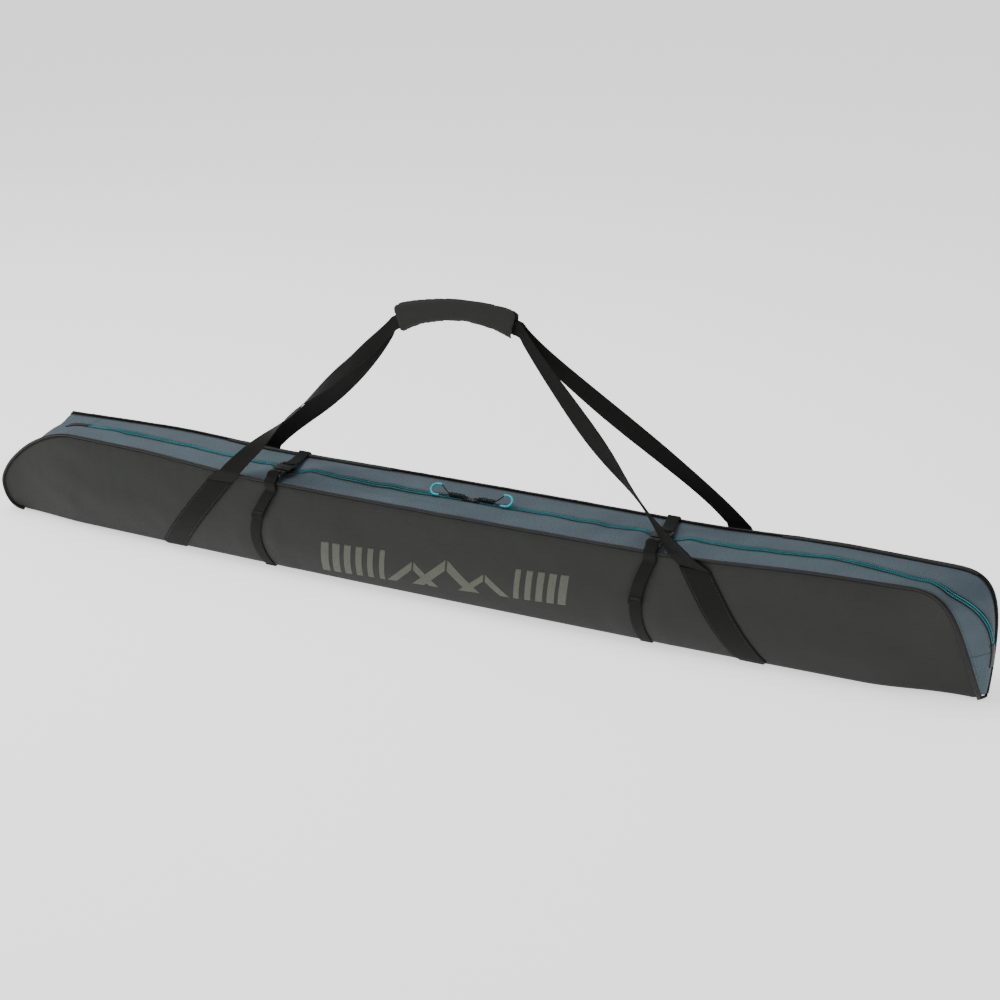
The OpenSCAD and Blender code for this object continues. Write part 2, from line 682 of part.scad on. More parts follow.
module back_right_handle_web() handle_web(1, false);

// ---------- nodes ----------

front_panel();
back_panel();
base_panel();
top_front_strip();
top_rear_strip();
left_end_gusset();
right_end_gusset();
front_piping();
back_piping();
zip_tape_front();
zip_tape_rear();
zip_coil_front();
zip_coil_rear();
zip_end_tab_left();
zip_end_tab_right();
left_carry_web();
right_carry_web();
front_left_handle_web();
front_right_handle_web();
back_left_handle_web();
back_right_handle_web();
grip_front_web();
grip_back_web();
grip_pad();
grip_flap();
grip_loop_strip();
grip_hook_strip();
left_strap();
left_strap_tail();
left_strap_top();
left_plug();
left_socket();
left_arm_inner();
left_arm_outer();
right_strap();
right_strap_tail();
right_strap_top();
right_plug();
right_socket();
right_arm_inner();
right_arm_outer();
left_slider();
left_pull_cord();
left_pull_tube();
right_slider();
right_pull_cord();
right_pull_tube();
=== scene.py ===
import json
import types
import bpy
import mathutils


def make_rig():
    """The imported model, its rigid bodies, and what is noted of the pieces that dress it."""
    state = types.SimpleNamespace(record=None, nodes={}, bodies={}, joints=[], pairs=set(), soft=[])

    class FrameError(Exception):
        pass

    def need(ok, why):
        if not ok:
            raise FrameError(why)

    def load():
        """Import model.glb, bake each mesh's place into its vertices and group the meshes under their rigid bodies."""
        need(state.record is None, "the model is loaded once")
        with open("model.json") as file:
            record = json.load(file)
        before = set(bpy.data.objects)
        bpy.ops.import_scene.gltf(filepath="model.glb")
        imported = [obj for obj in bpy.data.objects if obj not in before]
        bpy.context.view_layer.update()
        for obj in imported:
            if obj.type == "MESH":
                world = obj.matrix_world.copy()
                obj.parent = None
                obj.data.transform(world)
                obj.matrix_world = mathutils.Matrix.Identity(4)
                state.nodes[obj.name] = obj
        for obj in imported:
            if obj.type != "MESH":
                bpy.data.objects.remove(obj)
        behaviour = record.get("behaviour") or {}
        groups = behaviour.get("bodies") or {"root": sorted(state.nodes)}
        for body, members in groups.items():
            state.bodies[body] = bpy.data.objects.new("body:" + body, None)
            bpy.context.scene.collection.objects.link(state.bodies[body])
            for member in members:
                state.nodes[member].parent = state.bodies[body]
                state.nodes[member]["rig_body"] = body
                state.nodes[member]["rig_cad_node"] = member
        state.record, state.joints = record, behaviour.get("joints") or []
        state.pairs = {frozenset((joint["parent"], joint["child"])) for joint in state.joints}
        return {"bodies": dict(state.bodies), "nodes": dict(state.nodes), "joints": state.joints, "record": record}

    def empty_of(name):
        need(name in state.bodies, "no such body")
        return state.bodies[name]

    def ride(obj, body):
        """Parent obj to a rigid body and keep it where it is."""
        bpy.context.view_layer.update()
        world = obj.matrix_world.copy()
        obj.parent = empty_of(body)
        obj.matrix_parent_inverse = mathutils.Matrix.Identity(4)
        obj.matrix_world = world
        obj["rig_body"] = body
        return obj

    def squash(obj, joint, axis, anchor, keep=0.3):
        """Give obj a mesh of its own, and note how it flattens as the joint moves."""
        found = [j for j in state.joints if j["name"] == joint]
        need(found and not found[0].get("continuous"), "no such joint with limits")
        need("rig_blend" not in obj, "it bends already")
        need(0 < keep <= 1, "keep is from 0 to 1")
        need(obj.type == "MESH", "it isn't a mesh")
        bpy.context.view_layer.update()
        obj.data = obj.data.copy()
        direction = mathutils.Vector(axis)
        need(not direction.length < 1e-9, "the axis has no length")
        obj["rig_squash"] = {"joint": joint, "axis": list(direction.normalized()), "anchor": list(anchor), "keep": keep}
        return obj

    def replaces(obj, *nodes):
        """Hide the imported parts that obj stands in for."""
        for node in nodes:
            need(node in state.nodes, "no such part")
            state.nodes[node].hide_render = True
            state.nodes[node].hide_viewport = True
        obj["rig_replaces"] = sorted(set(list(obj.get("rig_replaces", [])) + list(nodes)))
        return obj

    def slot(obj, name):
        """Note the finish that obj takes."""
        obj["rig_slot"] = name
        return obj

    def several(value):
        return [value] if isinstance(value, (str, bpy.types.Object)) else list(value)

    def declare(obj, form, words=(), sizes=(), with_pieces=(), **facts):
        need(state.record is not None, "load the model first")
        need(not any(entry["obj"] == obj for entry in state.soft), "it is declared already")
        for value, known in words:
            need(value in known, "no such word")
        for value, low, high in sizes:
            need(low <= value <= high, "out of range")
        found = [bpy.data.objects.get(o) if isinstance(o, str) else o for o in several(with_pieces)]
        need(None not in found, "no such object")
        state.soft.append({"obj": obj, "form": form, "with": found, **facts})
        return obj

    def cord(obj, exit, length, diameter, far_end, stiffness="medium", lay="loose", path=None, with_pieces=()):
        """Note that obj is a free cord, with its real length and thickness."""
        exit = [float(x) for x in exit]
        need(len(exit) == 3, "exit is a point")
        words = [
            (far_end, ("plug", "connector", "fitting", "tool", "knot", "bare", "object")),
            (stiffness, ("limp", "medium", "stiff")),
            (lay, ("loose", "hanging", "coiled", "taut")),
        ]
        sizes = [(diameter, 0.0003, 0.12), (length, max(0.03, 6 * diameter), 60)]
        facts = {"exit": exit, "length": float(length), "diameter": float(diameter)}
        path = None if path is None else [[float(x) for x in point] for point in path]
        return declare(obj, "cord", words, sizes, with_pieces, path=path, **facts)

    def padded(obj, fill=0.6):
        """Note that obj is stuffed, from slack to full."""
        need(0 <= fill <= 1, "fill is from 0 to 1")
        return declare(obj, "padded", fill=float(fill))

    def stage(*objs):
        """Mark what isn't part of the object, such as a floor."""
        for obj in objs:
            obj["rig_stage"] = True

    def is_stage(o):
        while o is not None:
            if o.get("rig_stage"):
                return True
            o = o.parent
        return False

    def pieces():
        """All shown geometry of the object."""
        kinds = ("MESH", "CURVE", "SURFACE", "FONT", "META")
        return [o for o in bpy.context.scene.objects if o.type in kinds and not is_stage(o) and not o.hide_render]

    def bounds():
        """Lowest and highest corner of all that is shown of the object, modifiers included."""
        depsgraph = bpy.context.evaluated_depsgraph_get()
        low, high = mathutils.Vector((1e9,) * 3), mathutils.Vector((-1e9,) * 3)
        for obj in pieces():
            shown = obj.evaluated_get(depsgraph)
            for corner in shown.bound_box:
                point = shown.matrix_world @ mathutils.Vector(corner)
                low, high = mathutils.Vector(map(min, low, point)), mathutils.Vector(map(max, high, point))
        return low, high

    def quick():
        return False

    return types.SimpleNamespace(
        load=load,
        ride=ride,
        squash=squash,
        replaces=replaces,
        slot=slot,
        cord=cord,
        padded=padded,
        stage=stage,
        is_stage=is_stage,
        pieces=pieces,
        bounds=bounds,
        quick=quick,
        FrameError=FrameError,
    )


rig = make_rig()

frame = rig.load()

import json
import bmesh
import bpy
from math import copysign, cos, exp, pi, radians, sin, sqrt
from mathutils import Matrix, Vector, noise

cad_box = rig.bounds()
scene = bpy.context.scene


# ---- Camera, lights and floor ----
# The bag is seen from its front right, from a little above, through a long lens.
# Big soft lamps and a pale sweep of paper stand in for a catalogue studio.
camera = bpy.data.objects.new("camera", bpy.data.cameras.new("camera"))
scene.collection.objects.link(camera)
yaw, pitch = radians(-26.675), radians(20.783)
sight = Vector((sin(yaw) * cos(pitch), cos(yaw) * cos(pitch), -sin(pitch)))
camera.location = (1.40819, -2.61136, 1.28197)
camera.rotation_euler = sight.to_track_quat("-Z", "Y").to_euler()
camera.data.lens = 72
camera.data.sensor_width = 36
scene.camera = camera

for lamp_name, spot, watts, width in [("overhead", (-0.9, -0.4, 3.2), 88, 2.0), ("front_fill", (1.6, -3.4, 1.5), 16, 2.4),
                                      ("left_rim", (-3.0, 0.6, 1.8), 12, 1.8)]:
    lamp = bpy.data.objects.new(lamp_name, bpy.data.lights.new(lamp_name, "AREA"))
    scene.collection.objects.link(lamp)
    lamp.data.energy = watts
    lamp.data.size = width
    lamp.location = spot
    lamp.rotation_euler = (Vector((0, 0, 0.1)) - Vector(spot)).to_track_quat("-Z", "Y").to_euler()

scene.world = bpy.data.worlds.new("studio_air")
scene.world.use_nodes = True
air = scene.world.node_tree.nodes["Background"]
air.inputs["Color"].default_value = (1.0, 1.0, 1.0, 1.0)
air.inputs["Strength"].default_value = 0.45


def linear(hex_colour):
    """The shader's colour for an sRGB hex value."""
    parts = [int(hex_colour[k:k + 2], 16) / 255 for k in (1, 3, 5)]
    return tuple(p / 12.92 if p <= 0.04045 else ((p + 0.055) / 1.055) ** 2.4 for p in parts) + (1.0,)


def grey(level):
    return level, level, level, 1.0


# The output each kind of node is read from, where that isn't its first
READ_FROM = {"ShaderNodeTexCoord": "Object", "ShaderNodeTexWave": "Fac", "ShaderNodeMix": 2}
BLEND, MULTIPLY = {"data_type": "RGBA"}, {"data_type": "RGBA", "blend_type": "MULTIPLY"}
# A wave texture's scale is this over the distance between its bands in metres
BAND = 0.314


def socket_of(value):
    return value.outputs[READ_FROM.get(value.bl_idname, 0)] if isinstance(value, bpy.types.Node) else value


def add(tree, kind, inputs=None, **settings):
    """Adds a node to a material; an input is a value, an sRGB hex colour, or the node or socket that feeds it."""
    node = tree.nodes.new("ShaderNode" + kind)
    for name, value in settings.items():
        setattr(node, name, value)
    for name, value in (inputs or {}).items():
        value = linear(value) if isinstance(value, str) else socket_of(value)
        if isinstance(value, bpy.types.NodeSocket):
            tree.links.new(value, node.inputs[name])
        else:
            node.inputs[name].default_value = value
    return node


def start_material(name, roughness, **values):
    """A new material, its node tree and its shader."""
    material = bpy.data.materials.new(name)
    material.use_nodes = True
    shader = material.node_tree.nodes["Principled BSDF"]
    shader.inputs["Roughness"].default_value = roughness
    for socket, value in values.items():
        shader.inputs[socket.replace("_", " ")].default_value = value
    return material, material.node_tree, shader


def connect(tree, shader, **nodes):
    """Feeds a material's finished patterns to its shader."""
    for name, node in nodes.items():
        tree.links.new(socket_of(node), shader.inputs[name.replace("_", " ")])


# Paper sweep: matt, with the faint mottling of its fibres
paper, tree, shader = start_material("paper_sweep", 0.9, Emission_Color=grey(1.0), Emission_Strength=1.0)
place = add(tree, "TexCoord")
fibres = add(tree, "TexNoise", {"Vector": place, "Scale": 3.0, "Detail": 3.0})
tint = add(tree, "Mix", {0: fibres, 6: "#f6f6f5", 7: "#f9f9f9"}, **BLEND)
connect(tree, shader, Base_Color=tint)

bm = bmesh.new()
bmesh.ops.create_grid(bm, x_segments=4, y_segments=4, size=30)
bmesh.ops.translate(bm, verts=bm.verts, vec=(0, 0, -0.0006))
floor_mesh = bpy.data.meshes.new("floor")
bm.to_mesh(floor_mesh)
bm.free()
floor = bpy.data.objects.new("floor", floor_mesh)
scene.collection.objects.link(floor)
floor.data.materials.append(paper)
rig.stage(floor)


# ---- Pull cords ----
# A thin braided cord is threaded through each slider's bail, knotted behind it,
# and its two ends run on into a soft moulded tube that is the finger grip.
MM = 0.001
meet_x, zip_y, pull_z = 46.0, -0.477, 167.0
cord_r = 0.95
knot_from, knot_to, knot_turns = 13.0, 29.0, 6
tube_from, tube_r, tube_lift, lean = 47.0, 9.4, 5.6, sqrt(0.5)


def lerp(a, b, t):
    return a + (b - a) * t


def smooth(t):
    t = min(1.0, max(0.0, t))
    return t * t * (3 - 2 * t)


def waver(a, b, c):
    """Smooth random wave at a place in noise space, about -1 to 1."""
    return noise.noise(Vector((a, b, c)))


def curve_point(points, t):
    """A point on the smooth line through all the points; t counts in points from the first."""
    k = min(len(points) - 2, max(0, int(t)))
    f = t - k
    p1, p2 = points[k], points[k + 1]
    p0 = points[k - 1] if k else p1 * 2 - p2
    p3 = points[k + 2] if k + 2 < len(points) else p2 * 2 - p1
    square, cube = p0 * 2 - p1 * 5 + p2 * 4 - p3, p1 * 3 - p0 - p2 * 3 + p3
    return (p1 * 2 + (p2 - p0) * f + square * f ** 2 + cube * f ** 3) / 2


def heading(points, mark, reach=0.02):
    """The direction of the smooth line at a mark."""
    after, before = min(len(points) - 1, mark + reach), max(0, mark - reach)
    return (curve_point(points, after) - curve_point(points, before)).normalized()


def even_steps(points, step):
    """Places, counted in points, that lie the same distance apart along the smooth line, and its length."""
    fine = [k / 8 for k in range(8 * (len(points) - 1) + 1)]
    run = [0.0]
    for a, b in zip(fine, fine[1:]):
        run.append(run[-1] + (curve_point(points, b) - curve_point(points, a)).length)
    count = max(2, round(run[-1] / step))
    marks, k = [], 0
    for n in range(count + 1):
        want = run[-1] * n / count
        while k < len(run) - 2 and run[k + 1] < want:
            k += 1
        share = (want - run[k]) / max(1e-9, run[k + 1] - run[k])
        marks.append(lerp(fine[k], fine[k + 1], min(1.0, share)))
    return marks, run[-1]


def finish_piece(name, bm, material, body, slot, nodes=()):
    """Turns a bmesh in millimetres into a piece in the frame, riding on its body."""
    bmesh.ops.scale(bm, verts=bm.verts, vec=(MM, MM, MM))
    mesh = bpy.data.meshes.new(name)
    bm.to_mesh(mesh)
    bm.free()
    mesh.shade_smooth()
    mesh.materials.append(material)
    piece = bpy.data.objects.new(name, mesh)
    scene.collection.objects.link(piece)
    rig.ride(piece, body)
    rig.slot(piece, slot)
    if nodes:
        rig.replaces(piece, *nodes)
    return piece


def wrap_cord(bm, points, radius, sides, step):
    """Adds a round cord with closed ends along the points, and lays its cut map along it."""
    marks, length = even_steps(points, step)
    start = len(bm.verts)
    cut = bm.loops.layers.uv.get("cut") or bm.loops.layers.uv.new("cut")
    made = bmesh.ops.create_grid(bm, x_segments=len(marks) - 1, y_segments=sides, size=0.5)["verts"]
    for face in {f for v in made for f in v.link_faces}:
        for loop in face.loops:
            across, round_it = loop.vert.co.x + 0.5, loop.vert.co.y + 0.5
            loop[cut].uv = (across * length * MM, round_it * 2 * pi * radius * MM)
    rings, across = [], None
    for mark in marks:
        here = curve_point(points, mark)
        run = heading(points, mark)
        across = run.orthogonal() if across is None else across - run * across.dot(run)
        across.normalize()
        rings.append((here, across.copy(), run.cross(across)))
    for v in made:
        here, first, second = rings[round((v.co.x + 0.5) * (len(marks) - 1))]
        turn = -2 * pi * (v.co.y + 0.5)
        v.co = here + (first * cos(turn) + second * sin(turn)) * radius
    bmesh.ops.remove_doubles(bm, verts=made, dist=1e-4)
    ends = [e for e in bm.edges if e.is_boundary]
    bmesh.ops.holes_fill(bm, edges=ends, sides=sides)


# Braided polyester cord: tight slanting strands give it a fine herringbone and a dry sheen
braid, tree, shader = start_material("braided_polyester_cord", 0.62, Sheen_Weight=0.05, Sheen_Roughness=0.5,
                                     Specular_IOR_Level=0.2)
place = add(tree, "UVMap", uv_map="cut")
turned = add(tree, "Mapping", {"Vector": place, "Rotation": (0, 0, 0.72)})
strands = add(tree, "TexWave", {"Vector": turned, "Scale": BAND / 0.0012}, bands_direction="X")
strands_back = add(tree, "TexWave", {"Vector": turned, "Scale": BAND / 0.0012}, bands_direction="Y")
plait = add(tree, "Math", {0: strands, 1: strands_back}, operation="MULTIPLY")
tint = add(tree, "Mix", {0: plait, 6: "#151614", 7: "#2b2c2a"}, **BLEND)
lift = add(tree, "Bump", {"Height": plait, "Strength": 0.7, "Distance": 0.0003})
connect(tree, shader, Base_Color=tint, Normal=lift)

pull_tubes = {}
for hand, name in [(-1, "left"), (1, "right")]:
    pivot = Vector((meet_x + hand * 8, zip_y, pull_z))

    def at_pull(x, y, z=0.0, hand=hand, pivot=pivot):
        return pivot + Vector((hand * x, y, z))

    # Both strands are one cord: from one mouth of the tube, through the knot and bail, and back
    ties = [(knot_to, 1.5), (21, 1.35), (knot_from, 1.5), (8, 2.3), (3.4, 2.9), (0.9, 2.2)]
    route = []
    for s in (1, -1):
        # Where the strand enters the tube, which leans forward on its lower arm
        y = (tube_r - 0.5) * lean
        z = tube_lift + s * y
        spread = [at_pull(lerp(knot_to, tube_from, t), s * lerp(1.5, y, smooth(t) * 0.6 + t * 0.4), z * t ** 1.5)
                  for t in (1, 0.72, 0.46, 0.22)]
        strand = spread + [at_pull(x, s * y) for x, y in ties]
        route += strand + [at_pull(0.2, 0)] if s > 0 else list(reversed(strand))
    bm = bmesh.new()
    wrap_cord(bm, route, cord_r, 10, 1.2)
    pull_cord = finish_piece(name + "_pull_braid", bm, braid, name + "_pull", "cord_and_piping", [name + "_pull_cord"])
    marks, length = even_steps(route, 1.0)
    # The knot's turns are wound tight round both strands
    bm = bmesh.new()
    for twist, swell in [(1, 2.6), (-1, 2.9)]:
        wind = []
        for n in range(12 * knot_turns + 1):
            t = n / (12 * knot_turns)
            turn = twist * 2 * pi * knot_turns * t
            bulge = swell + 0.5 * sin(pi * t) + 0.5 * sin(turn * 0.34)
            x = lerp(4.5, 32, t) + 0.7 * sin(turn)
            wind.append(at_pull(x, bulge * cos(turn), 0.6 + bulge * sin(turn)))
        wrap_cord(bm, wind, cord_r * 0.95, 8, 0.9)
    knot = finish_piece(name + "_pull_knot", bm, braid, name + "_pull", "cord_and_piping")
    pull_tubes[name] = (at_pull, pull_cord, knot, [curve_point(route, m) * MM for m in marks], length * MM)


# ---- Pull tubes ----
# The finger grips are soft moulded tubes bent to a C, bright teal, with a fine parting
# line round them and a thicker lip at each mouth where the cord is pushed in.
# Moulded soft PVC: a smooth satin skin with slight unevenness, and a soft highlight
soft_pvc, tree, shader = start_material("moulded_soft_pvc", 0.38, Coat_Weight=0.15, Coat_Roughness=0.3, IOR=1.5)
place = add(tree, "TexCoord")
skin = add(tree, "TexNoise", {"Vector": place, "Scale": 900.0, "Detail": 2.0})
patches = add(tree, "TexNoise", {"Vector": place, "Scale": 120.0})
tint = add(tree, "Mix", {0: patches, 6: "#0496a8", 7: "#06a9ba"}, **BLEND)
lift = add(tree, "Bump", {"Height": skin, "Strength": 0.15, "Distance": 0.0002})
connect(tree, shader, Base_Color=tint, Normal=lift)

for name, (at_pull, pull_cord, knot, path, length) in pull_tubes.items():
    def arm(x, y):
        return at_pull(x, y * lean, tube_lift + y * lean)

    bend = [arm(tube_from - 0.5, tube_r), arm(tube_from + 3, tube_r)]
    for k in range(13):
        turn = pi * k / 12
        bend.append(arm(tube_from + 7 + tube_r * sin(turn), tube_r * cos(turn)))
    bend += [arm(tube_from + 3, -tube_r), arm(tube_from - 0.5, -tube_r)]
    bm = bmesh.new()
    wrap_cord(bm, bend, 2.15, 16, 1.0)
    mouths = [e for e in bm.edges if len(e.link_faces) == 2 and max(len(f.verts) for f in e.link_faces) > 4]
    bmesh.ops.bevel(bm, geom=mouths, offset=0.5, affect="EDGES", segments=3, profile=0.5, material=-1)
    for side in (-1, 1):
        for x in (tube_from + 0.6, tube_from + 2.4):
            lip = [arm(x + 0.75 * k, side * tube_r) for k in range(2)]
            wrap_cord(bm, lip, 2.36, 16, 0.8)
    tube = finish_piece(name + "_pull_grip", bm, soft_pvc, name + "_pull", "pull_tube", [name + "_pull_tube"])
    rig.cord(pull_cord, exit=path[0], length=length, diameter=2 * cord_r * MM, far_end="fitting", stiffness="limp",
            lay="loose", path=path, with_pieces=[tube, knot])


# ---- Side panels ----
# The front and back are long cut panels of charcoal polyester with a coated face. They
# hang from the piping, swell a little over the contents and tuck in at the underside.
length_x, end_top, mid_top, mid_depth, end_depth, front_drop = 1742.0, 175.0, 164.0, 128.0, 75.0, 6.0
left_x, right_x, level_x = -length_x / 2 - 2, length_x / 2, 44.0
strap_x, strap_under_x, strap_back_x, strap_bow = (-286.0, 378.0), (-312.0, 364.0), (-300.0, 364.0), (19.0, 13.0)
carry_front_x, carry_under_x, carry_back_x = (-388.0, 449.0), (-503.0, 532.0), (-380.0, 478.0)
carry_top_z = mid_top - 20
underside_t = 4.0


def top_z(x):
    """Height of the top seam over the bag: level in the middle, higher towards the ends."""
    return lerp(mid_top, end_top, smooth((abs(x - level_x) - 345) / 280))


def half_depth(x):
    return lerp(end_depth, mid_depth, 1 - min(1.0, abs(x - level_x) / 871) ** 2.2) / 2


def side_y(x, z):
    """Half the depth of the bag at a height, pinched to a point low down at the right-hand end."""
    v = min(1.0, max(0.0, z / top_z(x)))
    end = max(smooth((x - right_x + 170) / 150), 0.5 * smooth((left_x + 170 - x) / 150))
    body = 1 + 0.13 * sin(pi * v) - 0.42 * (1 - v) ** 5
    return half_depth(x) * lerp(body, 0.05 + 0.95 * v ** 0.55, end)


def bezier(p, t):
    s = 1 - t
    return p[0] * s ** 3 + p[1] * 3 * s * s * t + p[2] * 3 * s * t * t + p[3] * t ** 3


def points_2d(x, rows):
    return [Vector((x + a, b)) for a, b in rows]


seam_ends = {
    -1: (points_2d(left_x, [(0, 50), (2, 90), (89, 165), (168, 169)]),
         points_2d(right_x, [(-107, 169), (-46, 169), (-43, 120), (-7, 5)])),
    1: (points_2d(left_x, [(0, 50), (52, 104), (98, 158), (106, 175)]),
        points_2d(right_x, [(-62, 175), (2, 176), (4, 125), (0, 5)]))}
# Stations round each seam at which the lower left corner, the left end, the top and the right end finish
CORNER, LEFT_END, TOP, LAST = 5, {-1: 17, 1: 14}, 61, 75


def seam_height(x, side):
    return top_z(x) - (front_drop if side < 0 else 0)


def seam(side, i):
    """A point of the front (-1) or back (1) seam at station i."""
    left_end, right_end = seam_ends[side]
    level = LEFT_END[side]
    if i < CORNER:
        turn = pi / 2 * max(0.0, i) / CORNER
        x, z = left_x + 28 * (1 - sin(turn) ** 0.75), 50 - 46 * max(0.0, cos(turn)) ** 0.75
    elif i < level:
        x, z = bezier(left_end, (i - CORNER) / (level - CORNER))
    elif i <= TOP:
        x = lerp(left_end[3].x, right_end[0].x, (i - level) / (TOP - level))
        z = seam_height(x, side)
    else:
        x, z = bezier(right_end, (i - TOP) / (LAST - TOP))
    return Vector((x, side * side_y(x, z), z))


def strap_at(k, side, z):
    """Where a compression strap crosses a side at height z."""
    t = min(1.0, max(0.0, (z - 6) / (mid_top - 24)))
    bow = strap_bow[k] * sin(pi * t) if side < 0 else 0.0
    return lerp(strap_under_x[k], strap_x[k] if side < 0 else strap_back_x[k], t) - bow


def side_relief(side, x, z):
    """How far the cloth stands out from its plain shape: slack, drag lines and the pull of the straps."""
    v = min(1.0, max(0.0, z / top_z(x)))
    free = sin(pi * min(1.0, v * 1.02)) ** 0.6 if 0 < v < 0.98 else 0.0
    ends = smooth((x - left_x) / 60) * smooth((right_x - x) / 60)
    slack = 2.6 * waver(x / 310, z / 150, side * 4.0)
    drag = 1.1 * waver(x / 95 + z / 70, z / 60, side * 7.0)
    fine = 0.45 * waver(x / 26, z / 40, side * 9.0)
    drift = 3 * waver(x / 50, side * 3.0, 0)
    pucker = 0.35 * sin(x / 3.6 + drift) * exp(-(top_z(x) - z) / 16)
    pull = 0.0
    for k in (0, 1):
        away = abs(x - strap_at(k, side, z))
        pull += -1.7 * exp(-(away / 15) ** 2) + 1.5 * exp(-((away - 36) / 17) ** 2)
        pull += 0.9 * sin(away / 7 + z / 24) * exp(-away / 48) * smooth((away - 10) / 10) * v
    pull *= ends * sin(pi * min(1.0, v)) ** 0.5 * 0.8
    return free * ends * (slack + drag + fine) + pull + pucker * ends


def lay_sheet(bm, columns, rows, size, spot, flip=False):
    """Adds a sheet of cloth as a grid laid over spot(u, v), and keeps its flat cut as a map in metres."""
    cut = bm.loops.layers.uv.get("cut") or bm.loops.layers.uv.new("cut")
    made = bmesh.ops.create_grid(bm, x_segments=columns, y_segments=rows, size=0.5)["verts"]
    faces = list({f for v in made for f in v.link_faces})
    for face in faces:
        for loop in face.loops:
            loop[cut].uv = ((loop.vert.co.x + 0.5) * size[0] * MM, (loop.vert.co.y + 0.5) * size[1] * MM)
    for v in made:
        v.co = spot(v.co.x + 0.5, v.co.y + 0.5)
    if flip:
        bmesh.ops.reverse_faces(bm, faces=faces)


def thicken(piece, thickness, rounded=0.0):
    """Gives a sheet its wall, inwards from the face that shows."""
    wall = piece.modifiers.new("wall", "SOLIDIFY")
    wall.thickness = thickness * MM
    wall.offset = -1
    if rounded:
        soft = piece.modifiers.new("soft_edge", "BEVEL")
        soft.width = rounded * MM
        soft.segments = 2
        soft.angle_limit = radians(50)


def sheet_piece(name, spot, columns, rows, size, look, nodes=(), wall=1.0, rounded=0.0, flip=False, body="bag"):
    """One sheet of cloth with its wall, as a piece of its own; look is its material and its slot."""
    bm = bmesh.new()
    lay_sheet(bm, columns, rows, size, spot, flip)
    thicken(finish_piece(name, bm, look[0], body, look[1], nodes), wall, rounded)


def weave_bump(tree, place, thread):
    """Warp and weft of a plain cloth, as a height for the bump."""
    yarns = {"Vector": place, "Scale": BAND / thread, "Distortion": 0.6, "Detail": 1.0}
    warp = add(tree, "TexWave", yarns, bands_direction="X")
    weft = add(tree, "TexWave", yarns, bands_direction="Y")
    return add(tree, "Math", {0: warp, 1: weft}, operation="MULTIPLY")


# Coated polyester twill, calendered: dark and even, with a faint slanting grain, a dull
# sheen on the swells and rubbed paler patches. The twill is drawn at 2.6 mm so that it shows.
coated, tree, shader = start_material("coated_polyester_twill", 0.56, Sheen_Weight=0.03, Sheen_Roughness=0.45,
                                      Sheen_Tint=linear("#8fa6a8"), Specular_IOR_Level=0.2)
charcoal = (coated, "charcoal_fabric")
place = add(tree, "UVMap", uv_map="cut")
slant = add(tree, "Mapping", {"Vector": place, "Rotation": (0, 0, 0.82)})
grain = add(tree, "TexWave", {"Vector": slant, "Scale": BAND / 0.0026, "Distortion": 1.2, "Detail": 2.0,
                              "Detail Scale": 2.0}, bands_direction="X")
cloth = weave_bump(tree, slant, 0.0014)
rub = add(tree, "TexNoise", {"Vector": place, "Scale": 9.0, "Detail": 5.0, "Roughness": 0.6})
speck = add(tree, "TexNoise", {"Vector": place, "Scale": 650.0, "Detail": 2.0})
shade = add(tree, "Mix", {0: rub, 6: "#252624", 7: "#30322f"}, **BLEND)
ridge = add(tree, "Mix", {0: grain, 6: grey(0.86), 7: (1.1, 1.1, 1.09, 1)}, **BLEND)
toned = add(tree, "Mix", {0: 1.0, 6: shade, 7: ridge}, **MULTIPLY)
grit = add(tree, "Mix", {0: speck, 6: grey(0.9), 7: grey(1.1)}, **BLEND)
final = add(tree, "Mix", {0: 1.0, 6: toned, 7: grit}, **MULTIPLY)
# Painted shade: the colour is darkened towards the underside
stand = add(tree, "SeparateXYZ", {"Vector": add(tree, "TexCoord")})
painted_underside_shade = add(tree, "MapRange", {"Value": stand.outputs["Z"], "From Min": 0.0, "From Max": 0.13,
                              "To Min": 0.66, "To Max": 1.02})
# Multiplies the painted shade towards the underside into the cloth's colour
final = add(tree, "Mix", {0: 1.0, 6: final, 7: painted_underside_shade}, **MULTIPLY)
gloss = add(tree, "MapRange", {"Value": rub, "To Min": 0.5, "To Max": 0.66})
height = add(tree, "Math", {0: grain, 1: cloth}, operation="ADD")
lift = add(tree, "Bump", {"Height": height, "Strength": 0.32, "Distance": 0.0004})
connect(tree, shader, Base_Color=final, Roughness=gloss, Normal=lift)

rim_steps = 1500
for side, name in [(-1, "front"), (1, "back")]:
    rim = [seam(side, LAST * k / rim_steps) for k in range(rim_steps + 1)]
    flat_rim = [Vector((p.x, p.z)) for p in rim]
    reach = [0.0]
    for a, b in zip(flat_rim, flat_rim[1:]):
        reach.append(reach[-1] + (b - a).length)

    def on_side(u, v):
        """u runs round the rim and v from the underside's edge up to it."""
        want, k = u * reach[-1], min(rim_steps - 1, int(u * rim_steps))
        while k > 0 and reach[k] > want:
            k -= 1
        while k < rim_steps - 1 and reach[k + 1] < want:
            k += 1
        share = (want - reach[k]) / max(1e-9, reach[k + 1] - reach[k])
        high = flat_rim[k].lerp(flat_rim[k + 1], min(1.0, max(0.0, share)))
        low = Vector((lerp(left_x + 29, right_x - 2, u), underside_t - 0.4))
        x, z = low.lerp(high, v)
        # The rim is held flat round both ends
        middle = smooth((x - left_x - 170) / 40) * smooth((right_x - 130 - x) / 40)
        held = lerp(min(1.0, (1 - v) * 8), 1.0, middle)
        return Vector((x, side * (max(0.8, side_y(x, z)) + side_relief(side, x, z) * held), z))

    sheet_piece(name + "_panel_cloth", on_side, 420, 38, (1990, 172), charcoal, [name + "_panel"], 2.4, flip=side > 0)


# ---- Underside ----
# A stiffened strip closes the bag below. Its edge is the tucked-in foot of both side
# panels, and the webbing passes under it in shallow presses.
carry_w, strap_w = 38.0, 20.0


